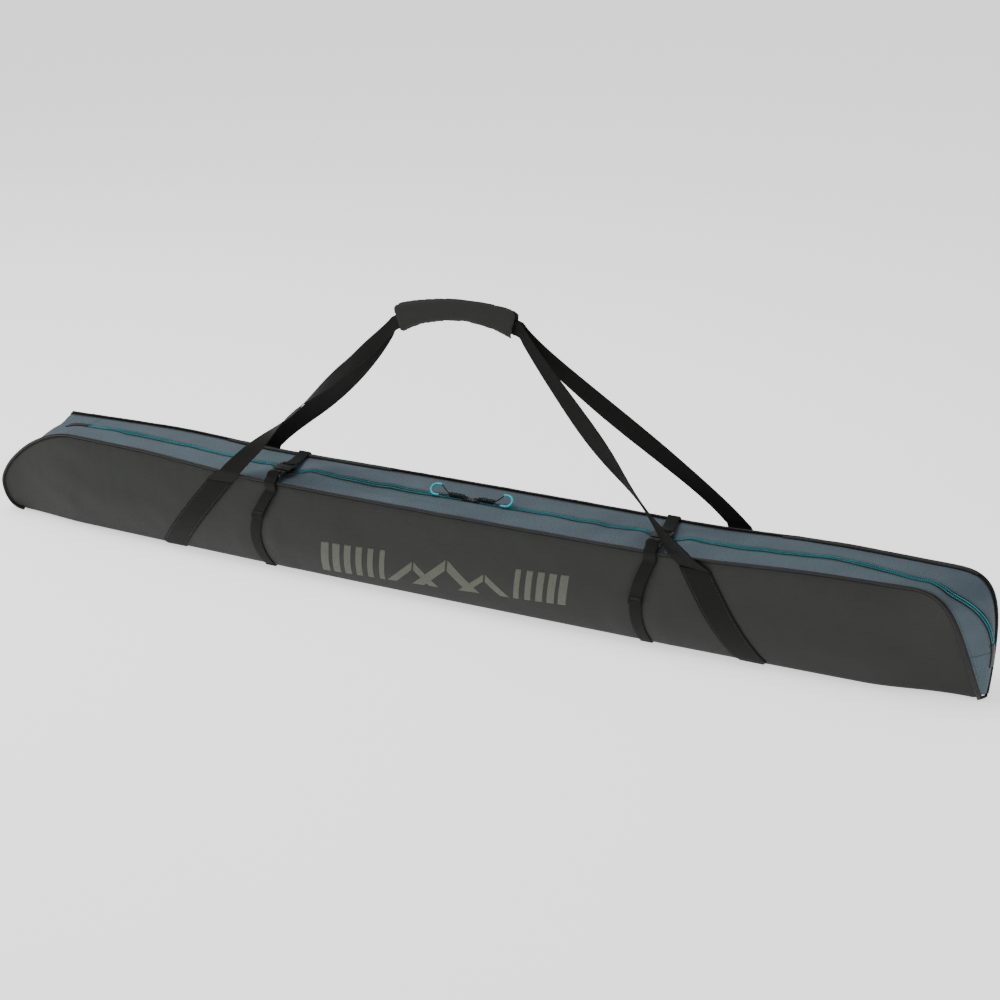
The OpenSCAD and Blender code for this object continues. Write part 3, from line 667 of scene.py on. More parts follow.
def foot(u, v):
    x = lerp(left_x + 29, right_x - 14, u)
    y = lerp(-1, 1, v) * (side_y(x, 0) - 0.3)
    press = 0.0
    for k in (0, 1):
        for at, width in [(carry_under_x[k], carry_w), (strap_under_x[k], strap_w)]:
            press = max(press, 1.9 * smooth((width / 2 + 9 - abs(x - at)) / 7))
    round_edge = 2.0 * smooth((abs(v - 0.5) - 0.42) / 0.08)
    wave = 0.12 + 0.12 * waver(x / 60, y / 30, 0)
    return Vector((x, y, max(press, round_edge, wave)))


sheet_piece("underside_cloth", foot, 430, 20, (1700, 110), charcoal, ["base_panel"], 3.2, flip=True)


# ---- Top gusset ----
# A band of slate melange polyester joins the two sides over the top and round both ends.
# It is two strips with folded edges beside the zip, and one piece at each end.
zip_from, zip_to, slot_half = 16.0, 72.0, 6.5


def seam_out(i):
    """Outward direction of the gusset at station i."""
    a, b = max(0.0, i - 0.7), min(float(LAST), i + 0.7)
    run = seam(-1, b) + seam(1, b) - seam(-1, a) - seam(1, a)
    return Vector((-run.z, 0, run.x)).normalized()


def zip_share(i):
    """Where the zip crosses the gusset: central, then swinging over the right-hand end to the back."""
    t = (i - TOP) / (LAST - TOP)
    return 0.5 - 0.26 * smooth((t + 0.4) / 0.7) + 0.44 * smooth((t - 0.25) / 0.55)


def top_relief(x, c, out_z):
    """Slack of the gusset: it dips beside the straps and sinks in front of the zip in the middle."""
    free = sin(pi * min(1.0, max(0.0, c)))
    quiet = 1 - exp(-((x - meet_x) / 95) ** 4) * exp(-((c - 0.5) / 0.22) ** 2)
    wave = 4.0 * waver(x / 120, c * 2.2, 5.0) + 2.2 * waver(x / 38 + c, c * 3.0, 11.0)
    hollow = -7.0 * exp(-((x + 75) / 120) ** 2) * exp(-((c - 0.36) / 0.13) ** 2)
    roll = 4.0 * exp(-((x + 30) / 190) ** 2) * exp(-((c - 0.12) / 0.09) ** 2)
    dips = 0.0
    for at in strap_x:
        away = abs(x - at)
        dips += -3.0 * exp(-(away / 20) ** 2) + 3.0 * exp(-((away - 44) / 20) ** 2)
        dips += 1.3 * sin(away / 6.5 + 5 * c) * exp(-away / 55) * smooth((away - 14) / 12)
    return free * quiet * (wave + hollow + roll + dips) * (0.35 + 0.65 * abs(out_z))


station_cache = {}


def gusset(i, c, depth=0.0):
    """A point on the gusset at station i; c runs from the front seam (0) to the back seam (1)."""
    key = round(i, 4)
    if key not in station_cache:
        a, b, out = seam(-1, i), seam(1, i), seam_out(i)
        width = (b - a).length
        crown = (2 + (1 if out.x < 0 else 14) * (1 - abs(out.z))) * min(1.0, width / 60)
        station_cache[key] = (a, b, out, width, crown)
    a, b, out, width, crown = station_cache[key]
    p = a.lerp(b, c)
    return p + out * (crown * 4 * c * (1 - c) + top_relief(p.x, c, out.z) - depth)


def gusset_width(i):
    gusset(i, 0.5)
    return station_cache[round(i, 4)][3]


# Slate melange polyester: grey-blue yarn flecked light and dark, dry and matt, with a woven
# tooth. The flecks are drawn about 1.5 mm long so that they show.
slate, tree, shader = start_material("slate_melange_polyester", 0.74, Sheen_Weight=0.06, Sheen_Roughness=0.5,
                                     Sheen_Tint=linear("#9db0ba"), Specular_IOR_Level=0.16)
place = add(tree, "UVMap", uv_map="cut")
stretch = add(tree, "Mapping", {"Vector": place, "Scale": (0.45, 1.0, 1.0)})
fleck = add(tree, "TexNoise", {"Vector": stretch, "Scale": 900.0, "Detail": 2.0, "Roughness": 0.65})
cloud = add(tree, "TexNoise", {"Vector": place, "Scale": 14.0, "Detail": 4.0})
cloth = weave_bump(tree, place, 0.0016)
spread = add(tree, "MapRange", {"Value": fleck, "From Min": 0.32, "From Max": 0.68})
tint = add(tree, "Mix", {0: spread, 6: "#3d4850", 7: "#5d6a72"}, **BLEND)
worn = add(tree, "Mix", {0: cloud, 6: grey(0.72), 7: grey(1.2)}, **BLEND)
final = add(tree, "Mix", {0: 1.0, 6: tint, 7: worn}, **MULTIPLY)
lift = add(tree, "Bump", {"Height": cloth, "Strength": 0.3, "Distance": 0.0003})
connect(tree, shader, Base_Color=final, Normal=lift)


def front_tuck(i):
    return 0.3 / gusset_width(i)


def back_tuck(i):
    return 1 - 0.3 / gusset_width(i)


def zip_front(i):
    return zip_share(i) - slot_half / gusset_width(i)


def zip_back(i):
    return zip_share(i) + slot_half / gusset_width(i)


for name, node, first, final_i, c_from, c_to, columns, rows, size in [
        ("front_strip", "top_front_strip", zip_from, zip_to, front_tuck, zip_front, 520, 14, (1750, 52)),
        ("rear_strip", "top_rear_strip", zip_from, zip_to, zip_back, back_tuck, 520, 14, (1750, 52)),
        ("left_end", "left_end_gusset", 0.0, zip_from - 0.02, front_tuck, back_tuck, 80, 26, (225, 75)),
        ("right_end", "right_end_gusset", zip_to + 0.02, 74.9, front_tuck, back_tuck, 34, 20, (70, 40))]:
    def strip_spot(u, v):
        i = lerp(first, final_i, u)
        return gusset(i, lerp(c_from(i), c_to(i), v))

    sheet_piece(name + "_cloth", strip_spot, columns, rows, size, (slate, "slate_fabric"), [node], 2.0, 0.5)


# ---- Piping ----
# A cord covered in black binding is sewn into both long seams, so the edges of the bag
# stay crisp. A narrow flange of the same binding shows beside it.
# Woven binding over cord: near black, with a thin pale light along its crown and bias ribs
binding, tree, shader = start_material("bias_binding_over_cord", 0.5, Sheen_Weight=0.02, Specular_IOR_Level=0.3)
place = add(tree, "UVMap", uv_map="cut")
slant = add(tree, "Mapping", {"Vector": place, "Rotation": (0, 0, 0.7)})
ribs = add(tree, "TexWave", {"Vector": slant, "Scale": BAND / 0.0014}, bands_direction="X")
cloud = add(tree, "TexNoise", {"Vector": place, "Scale": 60.0, "Detail": 3.0})
tint = add(tree, "Mix", {0: cloud, 6: "#0a0b0a", 7: "#151614"}, **BLEND)
lift = add(tree, "Bump", {"Height": ribs, "Strength": 0.35, "Distance": 0.0003})
connect(tree, shader, Base_Color=tint, Normal=lift)

piped = (binding, "cord_and_piping")
piping_r = 2.2
for side, name in [(-1, "front"), (1, "back")]:
    line = []
    for k in range(301):
        i = LAST * k / 300
        p, out = seam(side, i), seam_out(i)
        sway = 0.5 * waver(p.x / 45, side * 2.0, 0) + 0.25 * waver(p.x / 14, side * 6.0, 0)
        line.append(p + out * (1.87 + sway) + Vector((0, side * 1.87, 0)))
    bm = bmesh.new()
    wrap_cord(bm, line, piping_r, 12, 5.0)
    finish_piece(name + "_piping_cord", bm, binding, "bag", "cord_and_piping", [name + "_piping"])

    # The flange lies on the gusset beside the cord

    def flange(u, v):
        i = LAST * u
        c = (0 if side < 0 else 1) - side * lerp(-1.0, 4.4, v) / max(12.0, gusset_width(i))
        return gusset(i, c, -0.55 + 0.5 * v)

    sheet_piece(name + "_piping_flange", flange, 420, 2, (1990, 4), piped, wall=0.7, flip=side > 0)


# The back panel's spare cloth is rolled over the piping in two places
for first, final_i in [(23.5, 33.0), (53.0, 63.5)]:
    def roll_spot(u, v):
        i = lerp(first, final_i, u)
        turn = lerp(-0.5, 3.5, v)
        r = 1.2 + 2.9 * sin(pi * u) ** 0.5 + 0.3 * waver(u * 9, v * 2, 3.0)
        return seam(1, i) + seam_out(i) * (1.4 + r * sin(turn)) + Vector((0, r * cos(turn) - 2.2, 0))

    sheet_piece("back_rolled_cloth_%d" % first, roll_spot, 90, 10, (300, 14), charcoal, wall=0.5, flip=True)

# Both rows of piping meet under the right-hand foot
foot_line = [seam(side, LAST) + Vector(step) for side, step in [
    (-1, (0.5, -1.4, -0.6)), (-1, (1.2, 1.0, -2.4)), (1, (1.2, -1.0, -2.4)), (1, (0.5, 1.4, -0.6))]]
bm = bmesh.new()
wrap_cord(bm, foot_line, piping_r, 12, 1.5)
finish_piece("foot_piping", bm, binding, "bag", "cord_and_piping")


# ---- Zip ----
# A full-length coil zip: two dark tapes sewn under the strips' folded edges, each with a
# teal nylon coil along its inner edge, and a folded tab of webbing over each end.
# Woven zip tape: dark brown-black herringbone, matt
tape, tree, shader = start_material("woven_zip_tape", 0.8)
place = add(tree, "UVMap", uv_map="cut")
herring = add(tree, "TexWave", {"Vector": place, "Scale": BAND / 0.002, "Distortion": 1.0}, bands_direction="X")
tint = add(tree, "Mix", {0: herring, 6: "#171513", 7: "#2b2724"}, **BLEND)
lift = add(tree, "Bump", {"Height": herring, "Strength": 0.4, "Distance": 0.0003})
connect(tree, shader, Base_Color=tint, Normal=lift)
# Nylon monofilament coil: smooth and slightly glassy, teal, so each turn catches a small light
nylon, tree, shader = start_material("nylon_coil", 0.33, IOR=1.53, Coat_Weight=0.1)
place = add(tree, "TexCoord")
cloud = add(tree, "TexNoise", {"Vector": place, "Scale": 90.0, "Detail": 2.0})
tint = add(tree, "Mix", {0: cloud, 6: "#077e88", 7: "#0b9ca8"}, **BLEND)
connect(tree, shader, Base_Color=tint)

def beside_zip(i, away, depth=0.0):
    """A point on the gusset this many millimetres behind the middle of the zip."""
    return gusset(i, zip_share(i) + away / gusset_width(i), depth)


coil_pitch = 2.9
stations = [lerp(zip_from, zip_to, k / 260) for k in range(261)]
ups = [seam_out(i) for i in stations]
for side, name in [(-1, "front"), (1, "rear")]:
    def tape_spot(u, v):
        return beside_zip(lerp(zip_from, zip_to, u), side * lerp(0.5, 8.5, v), lerp(1.0, 2.9, smooth(v * 1.5 - 0.4)))

    sheet_piece("zip_tape_" + name + "_cloth", tape_spot, 520, 4, (1700, 8), (tape, "zip_tape"),
                ["zip_tape_" + name], 0.6, flip=side < 0)
    line = [beside_zip(i, side * 2.3, -0.2) for i in stations]
    bm = bmesh.new()
    for mark in even_steps(line, coil_pitch)[0][1:-1]:
        here, ahead = curve_point(line, mark), heading(line, mark)
        up = curve_point(ups, mark).normalized()
        across = up.cross(ahead).normalized()
        turn = Matrix((ahead, across, up)).transposed().to_4x4()
        slanted = Matrix.Rotation(0.5 * side, 4, "Z")
        bmesh.ops.create_icosphere(bm, subdivisions=1, radius=1.0, matrix=Matrix.Translation(here) @ turn @ slanted
                                   @ Matrix.Diagonal((coil_pitch * 0.36, 1.75, 1.05, 1)))
    finish_piece("zip_coil_" + name + "_turns", bm, nylon, "bag", "zip_coil", ["zip_coil_" + name])

for i_tab, inward, name in [(zip_from, 1, "left"), (zip_to, -1, "right")]:
    def tab_spot(u, v):
        i = i_tab + inward * lerp(-1.2, 0.5, u)
        return beside_zip(i, lerp(-7, 7, v), -1.4 - 0.5 * sin(pi * u))

    sheet_piece("zip_end_" + name + "_fold", tab_spot, 12, 6, (18, 14), (binding, "webbing"),
                ["zip_end_tab_" + name], 1.3, 0.3, flip=inward < 0)


# ---- Stitching ----
# Every strip edge is top-stitched beside the zip and beside the piping with bonded
# polyester thread; each stitch sinks into the cloth at both ends.
# Bonded thread: dark, smooth, a little shiny
thread, tree, shader = start_material("bonded_polyester_thread", 0.5, Sheen_Weight=0.1)
place = add(tree, "TexCoord")
cloud = add(tree, "TexNoise", {"Vector": place, "Scale": 400.0})
tint = add(tree, "Mix", {0: cloud, 6: "#151714", 7: "#222524"}, **BLEND)
connect(tree, shader, Base_Color=tint)


def sew(bm, line, ups, pitch=4.6, thick=0.42):
    """Adds a row of stitches along the line; ups are the directions out of the cloth."""
    for mark in even_steps(line, pitch)[0][1:-1]:
        here, ahead = curve_point(line, mark), heading(line, mark, 0.05)
        up = curve_point(ups, mark).normalized()
        across = up.cross(ahead).normalized()
        turn = Matrix((ahead, across, across.cross(ahead) * -1)).transposed().to_4x4()
        bmesh.ops.create_icosphere(bm, subdivisions=1, radius=1.0, matrix=Matrix.Translation(here + up * 0.12) @ turn
                                   @ Matrix.Diagonal((pitch * 0.38, thick, thick * 0.9, 1)))


bm = bmesh.new()
for side in (-1, 1):
    stations = [lerp(zip_from + 0.2, zip_to - 0.2, k / 260) for k in range(261)]
    sew(bm, [beside_zip(i, side * (slot_half + 2.6)) for i in stations], [seam_out(i) for i in stations])
stitch_in = 6.4
for side in (-1, 1):
    stations = [lerp(1.0, 74.0, k / 300) for k in range(301)]
    line = [gusset(i, (stitch_in if side < 0 else gusset_width(i) - stitch_in) / gusset_width(i)) for i in stations]
    sew(bm, line, [seam_out(i) for i in stations])
finish_piece("gusset_stitches", bm, thread, "bag", "cord_and_piping")


# ---- Carry webbing ----
# One long loop of black polypropylene webbing at each end of the handle runs down the
# front, under the bag and up the back, sewn along both its edges.
# Woven polypropylene webbing: ribs across its width, hard and slightly shiny. The ribs are
# drawn at 2.4 mm so that they show.
webbing, tree, shader = start_material("woven_polypropylene_webbing", 0.6, Specular_IOR_Level=0.12)
place = add(tree, "UVMap", uv_map="cut")
ribs = add(tree, "TexWave", {"Vector": place, "Scale": BAND / 0.0024, "Distortion": 0.8, "Detail": 2.0},
           bands_direction="X")
yarns = add(tree, "TexWave", {"Vector": place, "Scale": BAND / 0.0019}, bands_direction="Y")
weave = add(tree, "Math", {0: ribs, 1: yarns}, operation="MULTIPLY")
cloud = add(tree, "TexNoise", {"Vector": place, "Scale": 30.0, "Detail": 4.0})
dark = add(tree, "Mix", {0: weave, 6: "#0c0d0b", 7: "#1e1f1d"}, **BLEND)
worn = add(tree, "Mix", {0: cloud, 6: grey(0.85), 7: grey(1.15)}, **BLEND)
final = add(tree, "Mix", {0: 1.0, 6: dark, 7: worn}, **MULTIPLY)
lift = add(tree, "Bump", {"Height": weave, "Strength": 0.5, "Distance": 0.0004})
connect(tree, shader, Base_Color=final, Normal=lift)

web_t, web_clear = 1.4, 0.8
web_out = web_t + web_clear


def on_cloth(side, x, z, lift_off):
    """A point standing off the side panel's cloth."""
    return Vector((x, side * (side_y(x, z) + side_relief(side, x, z) + lift_off), z))


def band_piece(name, node, rails, width, step, columns, wall, rounded, flip=False):
    """A band of webbing between two matching rows of points, as a piece of its own."""
    left, right = rails
    marks, run = even_steps([(a + b) / 2 for a, b in zip(left, right)], step)

    def spot(u, v):
        mark = marks[round(u * (len(marks) - 1))]
        return curve_point(left, mark).lerp(curve_point(right, mark), v)

    bm = bmesh.new()
    lay_sheet(bm, len(marks) - 1, columns, (run, width), spot, flip)
    piece = finish_piece(name, bm, webbing, "bag", "webbing", [node])
    thicken(piece, wall, rounded)
    return piece


# The girths turn under the bag at this height
turn_z = 6.0


def girth_rails(middle_at, under_x, half, under_half, top_front, top_back):
    """Both edges of a band that runs down the front, underneath and up the back."""
    foot_y = side_y(under_x, 0)
    down = [lerp(top_front, turn_z, k / 26) for k in range(27)]
    up = [lerp(turn_z, top_back, k / 26) for k in range(27)]
    rails = []
    for s in (-1, 1):
        rail = [on_cloth(-1, middle_at(-1, z) + s * half, z, web_out) for z in down]
        rail += [Vector((under_x + s * under_half, y, z)) for y, z in [
            (-(foot_y + 1.3), 1.3), (-(foot_y - 3), 0), (foot_y - 3, 0), (foot_y + 1.3, 1.3)]]
        rails.append(rail + [on_cloth(1, middle_at(1, z) + s * half, z, web_out) for z in up])
    return rails


def carry_at(k, side, z):
    top_x = (carry_front_x if side < 0 else carry_back_x)[k]
    return lerp(carry_under_x[k], top_x, (z - turn_z) / (carry_top_z - turn_z))


slant_half = carry_w * 1.3 / 2
for k, name in [(0, "left"), (1, "right")]:
    rails = girth_rails(lambda side, z: carry_at(k, side, z), carry_under_x[k], slant_half, carry_w / 2,
                        carry_top_z + 2.2, carry_top_z + 2.2)
    band_piece(name + "_carry_band", name + "_carry_web", rails, carry_w, 5.0, 6, web_t, 0.3)
    bm = bmesh.new()
    for side in (-1, 1):
        for s in (-1, 1):
            edge = s * (slant_half - 4.2)
            line = [on_cloth(side, carry_at(k, side, z) + edge, z, web_out) for z in range(12, 143, 5)]
            sew(bm, line, [Vector((0, side, 0))] * len(line), pitch=4.0)
    finish_piece(name + "_carry_stitches", bm, thread, "bag", "cord_and_piping")


# ---- Handle webbing ----
# From each seam the same webbing rises free to the grip, turning on its way, and goes slack
# when the grip is let down. The four lengths are cut 38 mm wide and folded inside the grip.
grip_x, grip_z, grip_length, grip_r, grip_tilt = 21.0, 471.0, 208.0, 400.0, radians(3.9)


def grip_place(along, rise, depth):
    """A point of the grip: along its arch, above it, and across it."""
    turn = along / grip_r
    x, z = (grip_r + rise) * sin(turn), (grip_r + rise) * cos(turn) - grip_r
    return Vector((grip_x + x * cos(grip_tilt) - z * sin(grip_tilt), depth,
                   grip_z + x * sin(grip_tilt) + z * cos(grip_tilt)))


# The front webs are wrung as they rise; each web hangs lower than a taut one at its two bends
web_twist, twist_at, web_end_drop, web_steps = (radians(83), radians(62)), (0.42, 0.26), (15, 12), 30
web_sag = {-1: ((-8, -16), (0, 0)), 1: ((-2, 19), (-10, -10))}
over_x = {-1: (-366, 427), 1: (-371, 469)}


def wrung(k, t):
    """How far a front web is wrung; the left one stays half turned until it nears the grip."""
    if k == 0 and t > twist_at[0]:
        share = (1 - 0.5 * smooth((t - twist_at[0]) / 0.25)) * (1 - smooth((t - 0.68) / 0.2))
    else:
        share = exp(-((t - twist_at[k]) / 0.2) ** 2)
    return share * min(1.0, t / 0.1 + 0.3 * k)


drop_from, drop_run = 0.146, 0.17
for k, side_x, hand in [(0, -1, "left"), (1, 1, "right")]:
    for side, name in [(-1, "front"), (1, "back")]:
        x = (carry_front_x if side < 0 else carry_back_x)[k]
        end = grip_place(side_x * grip_length / 2, 0, 0) + Vector((side_x * 7, side * 2, -web_end_drop[k]))
        low = on_cloth(side, x, carry_top_z + 2, web_clear)
        over = Vector((over_x[side][k], side * (half_depth(x) + 8), seam_height(x, side) + 4))
        low_sag, high_sag = web_sag[side][k]
        rise = [over, over + Vector((-side_x * 60, side * -8, 60 - low_sag)),
                end + Vector((side_x * 56, side * 4, -80 - high_sag)), end]
        path = [low] + [bezier(rise, n / web_steps) for n in range(web_steps + 1)]
        for inside, drop in [(7, -9), (20, -5)]:
            path.append(grip_place(side_x * (grip_length / 2 - inside), drop, side * 1.6))
        left, right = [], []
        for n, p in enumerate(path):
            t = min(1.0, max(0.0, (n - 1) / web_steps))
            half = lerp(slant_half if n == 0 else 19.9, 11.5, t)
            wide = Vector((1, 0, 0)).lerp(Vector((0.15, 0, side_x)), smooth(t)).normalized() * half
            run = path[min(len(path) - 1, n + 1)] - path[max(0, n - 1)]
            if side < 0:
                wide = Matrix.Rotation(-web_twist[k] * wrung(k, t), 3, run) @ wide
            wall = wide.cross(run).normalized() * -side * web_t
            sway = wall.normalized() * 1.1 * waver(t * 5, k * 3.0, side * 2.0) * sin(pi * t)
            left.append(p - wide + wall + sway)
            right.append(p + wide + wall + sway)
        web_name = name + "_" + hand + "_handle_"
        web = band_piece(web_name + "band", web_name + "web", (left, right), carry_w, 5.0, 6, web_t, 0.3, flip=side < 0)
        kept = 1 - drop_run / (end.z * MM - drop_from)
        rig.squash(web, "handle_drop", axis=(0, 0, 1), anchor=(0, 0, drop_from), keep=kept)

for side, name in [(-1, "front"), (1, "back")]:
    def inner_web(u, v):
        sag = 4 * smooth((abs(u - 0.5) - 0.4) / 0.1)
        return grip_place(lerp(-101, 101, u), lerp(-11.5, 11.5, v) - sag, side * 3.2)

    sheet_piece("grip_" + name + "_band", inner_web, 60, 4, (202, carry_w), (webbing, "webbing"),
                ["grip_" + name + "_web"], 2.6, 0.3, flip=side > 0, body="grip")


# ---- Grip ----
# A padded sleeve wraps both webs: foam between two layers of brushed polyester, blown up
# round its edges, quilted by three long seams and one at each end, and hinged along its top.
def low_lip(s):
    """How far the grip's lower edge lies above its middle line; s is -1 at one end and 1 at the other."""
    return -(16.8 + 8.0 * abs(s) ** 2.2)


def rounding(away, reach):
    """The share of a corner's radius that is cut off at a distance from the edge, both as shares of the height."""
    return 1 - sqrt(max(0.0, 1 - (1 - min(1.0, away / reach)) ** 2))


def pad_spot(side, u, v, depth):
    """u runs along the grip; v goes from the hinge at the top, round one side, to the lower lip."""
    s = lerp(-1, 1, u)
    turn = pi * v
    top, bottom = 16.6, low_lip(s)
    centre, tall = (top + bottom) / 2, (top - bottom) / 2
    half_t = 7.6 - depth
    rise = centre + (tall - depth) * copysign(abs(cos(turn)) ** 0.72, cos(turn))
    across = max(0.5, half_t * sin(turn) ** 0.55) if v not in (0, 1) else 0.5
    along = s * (grip_length / 2 + 1.0 - 15 * rounding(v, 0.34) - 4 * rounding(1 - v, 0.16))
    return grip_place(along, rise, side * (across + 0.3))


def blow_up(piece, voxel, pressure, most):
    """Fills a closed pad with air as a cloth, and keeps each point within a distance of its start."""
    even = piece.modifiers.new("even", "REMESH")
    even.mode = "VOXEL"
    even.voxel_size = voxel * MM
    shown = bpy.context.evaluated_depsgraph_get()
    piece.data = bpy.data.meshes.new_from_object(piece.evaluated_get(shown), depsgraph=shown)
    piece.modifiers.clear()
    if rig.quick():
        return
    start = [v.co.copy() for v in piece.data.vertices]
    air_fill = piece.modifiers.new("air_fill", "CLOTH")
    air_fill.settings.quality = 6
    air_fill.settings.mass = 0.3
    air_fill.settings.use_pressure = True
    air_fill.settings.uniform_pressure_force = pressure
    air_fill.settings.effector_weights.gravity = 0
    for moment in range(1, 21):
        scene.frame_set(moment)
    shown = bpy.context.evaluated_depsgraph_get()
    blown = bpy.data.meshes.new_from_object(piece.evaluated_get(shown), depsgraph=shown)
    piece.modifiers.clear()
    piece.data = blown
    scene.frame_set(1)
    for v, rest in zip(blown.vertices, start):
        move = v.co - rest
        if move.length > most * MM:
            v.co = rest + move.normalized() * most * MM


# Brushed polyester over foam: soft matt charcoal with a fine pile that lightens at the edges
brushed, tree, shader = start_material("brushed_polyester_over_foam", 0.82, Sheen_Weight=0.06, Sheen_Roughness=0.4,
                                       Sheen_Tint=linear("#8b8f8e"), Specular_IOR_Level=0.12)
place = add(tree, "TexCoord")
pile = add(tree, "TexNoise", {"Vector": place, "Scale": 800.0, "Detail": 3.0})
cloud = add(tree, "TexNoise", {"Vector": place, "Scale": 40.0, "Detail": 3.0})
knit = add(tree, "TexVoronoi", {"Vector": place, "Scale": 620.0})
tint = add(tree, "Mix", {0: pile, 6: "#222321", 7: "#323331"}, **BLEND)
worn = add(tree, "Mix", {0: cloud, 6: grey(0.9), 7: grey(1.12)}, **BLEND)
final = add(tree, "Mix", {0: 1.0, 6: tint, 7: worn}, **MULTIPLY)
lift = add(tree, "Bump", {"Height": knit, "Strength": 0.3, "Distance": 0.0004})
connect(tree, shader, Base_Color=final, Normal=lift)

# Seams of the pad, as lines in its own (u, v)
seam_from, seam_to, low_seam = 0.035, 0.965, 0.86
long_seams = [[(lerp(seam_from, seam_to, t / 40), v) for t in range(41)] for v in (0.3, 0.46, low_seam)]
end_seams = [[(u, lerp(0.2, low_seam, t / 10)) for t in range(11)] for u in (seam_from, seam_to)]
pad_seams = long_seams[:2] + end_seams + long_seams[2:]
for side, name, body, node in [(-1, "front", "grip", "grip_pad"), (1, "back", "grip_flap", "grip_flap")]:
    bm = bmesh.new()
    lay_sheet(bm, 84, 24, (208, 60), lambda u, v: pad_spot(side, u, v, 0.8) * MM, flip=side > 0)
    bmesh.ops.recalc_face_normals(bm, faces=bm.faces)
    shell = bpy.data.meshes.new("grip_" + name + "_shell")
    bm.to_mesh(shell)
    bm.free()
    pad = bpy.data.objects.new("grip_" + name + "_padding", shell)
    scene.collection.objects.link(pad)
    thicken(pad, 3.2)
    blow_up(pad, 2.6, 4.0, 2.2)
    lines = [[pad_spot(side, u, v, 0) * MM for u, v in row] for row in pad_seams]
    bm = bmesh.new()
    bm.from_mesh(pad.data)
    for v in bm.verts:
        near = min((v.co - p).length for row in lines for p in row) / MM
        inward = Vector((0, -side, 0))
        if near < 6 and v.normal.y * side > -0.2:
            v.co += inward * (1.9 * exp(-(near / 2.2) ** 2)) * MM
    bmesh.ops.scale(bm, verts=bm.verts, vec=(1 / MM, 1 / MM, 1 / MM))
    bpy.data.objects.remove(pad)
    pad = finish_piece("grip_" + name + "_padding", bm, brushed, body, "grip_fabric", [node])
    fine = pad.modifiers.new("fine", "SUBSURF")
    fine.levels = fine.render_levels = 1
    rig.padded(pad, fill=0.7)
    bm = bmesh.new()
    for row in pad_seams:
        line = [pad_spot(side, u, v, 0) - Vector((0, side * 0.35, 0)) for u, v in row]
        sew(bm, line, [Vector((0, side, 0.15))] * len(line), pitch=3.6)
    finish_piece("grip_" + name + "_stitches", bm, thread, body, "cord_and_piping")


# ---- Hook-and-loop closure ----
# Narrow strips inside the grip's two lower lips: soft loops on one, stiff hooks on the other.
# Woven nylon with a pile too small to model; its tufts show as a rough dark nap
nap, tree, shader = start_material("hook_and_loop_nylon", 0.9, Sheen_Weight=0.3)
place = add(tree, "TexCoord")
tufts = add(tree, "TexVoronoi", {"Vector": place, "Scale": 700.0})
tint = add(tree, "Mix", {0: tufts, 6: "#0f100f", 7: "#2b2c2b"}, **BLEND)
lift = add(tree, "Bump", {"Height": tufts, "Strength": 0.9, "Distance": 0.0006})
connect(tree, shader, Base_Color=tint, Normal=lift)

for side, name, body in [(-1, "loop", "grip"), (1, "hook", "grip_flap")]:
    def nap_spot(u, v):
        s = lerp(-1, 1, u)
        return grip_place(s * (grip_length / 2 - 8), low_lip(s) + lerp(0.8, 4.2, v), side * 0.1)

    sheet_piece("grip_" + name + "_nap", nap_spot, 60, 3, (192, 4), (nap, "hook_and_loop"),
                ["grip_" + name + "_strip"], 0.6, flip=side < 0, body=body)


# ---- Compression straps ----
# Two 20 mm webbing straps go right round the bag and close over the zip. The front end
# is threaded through a ladder lock, and its hemmed tail hangs down over the side.
buckle_y, buckle_z = -38.0, mid_top + 2
strap_t, strap_half, buckle_run = 1.2, strap_w / 2, 0.02


def strap_piece(name, node, rails, flip=False):
    return band_piece(name, node, rails, strap_w, 2.5, 4, strap_t, 0.25, flip)


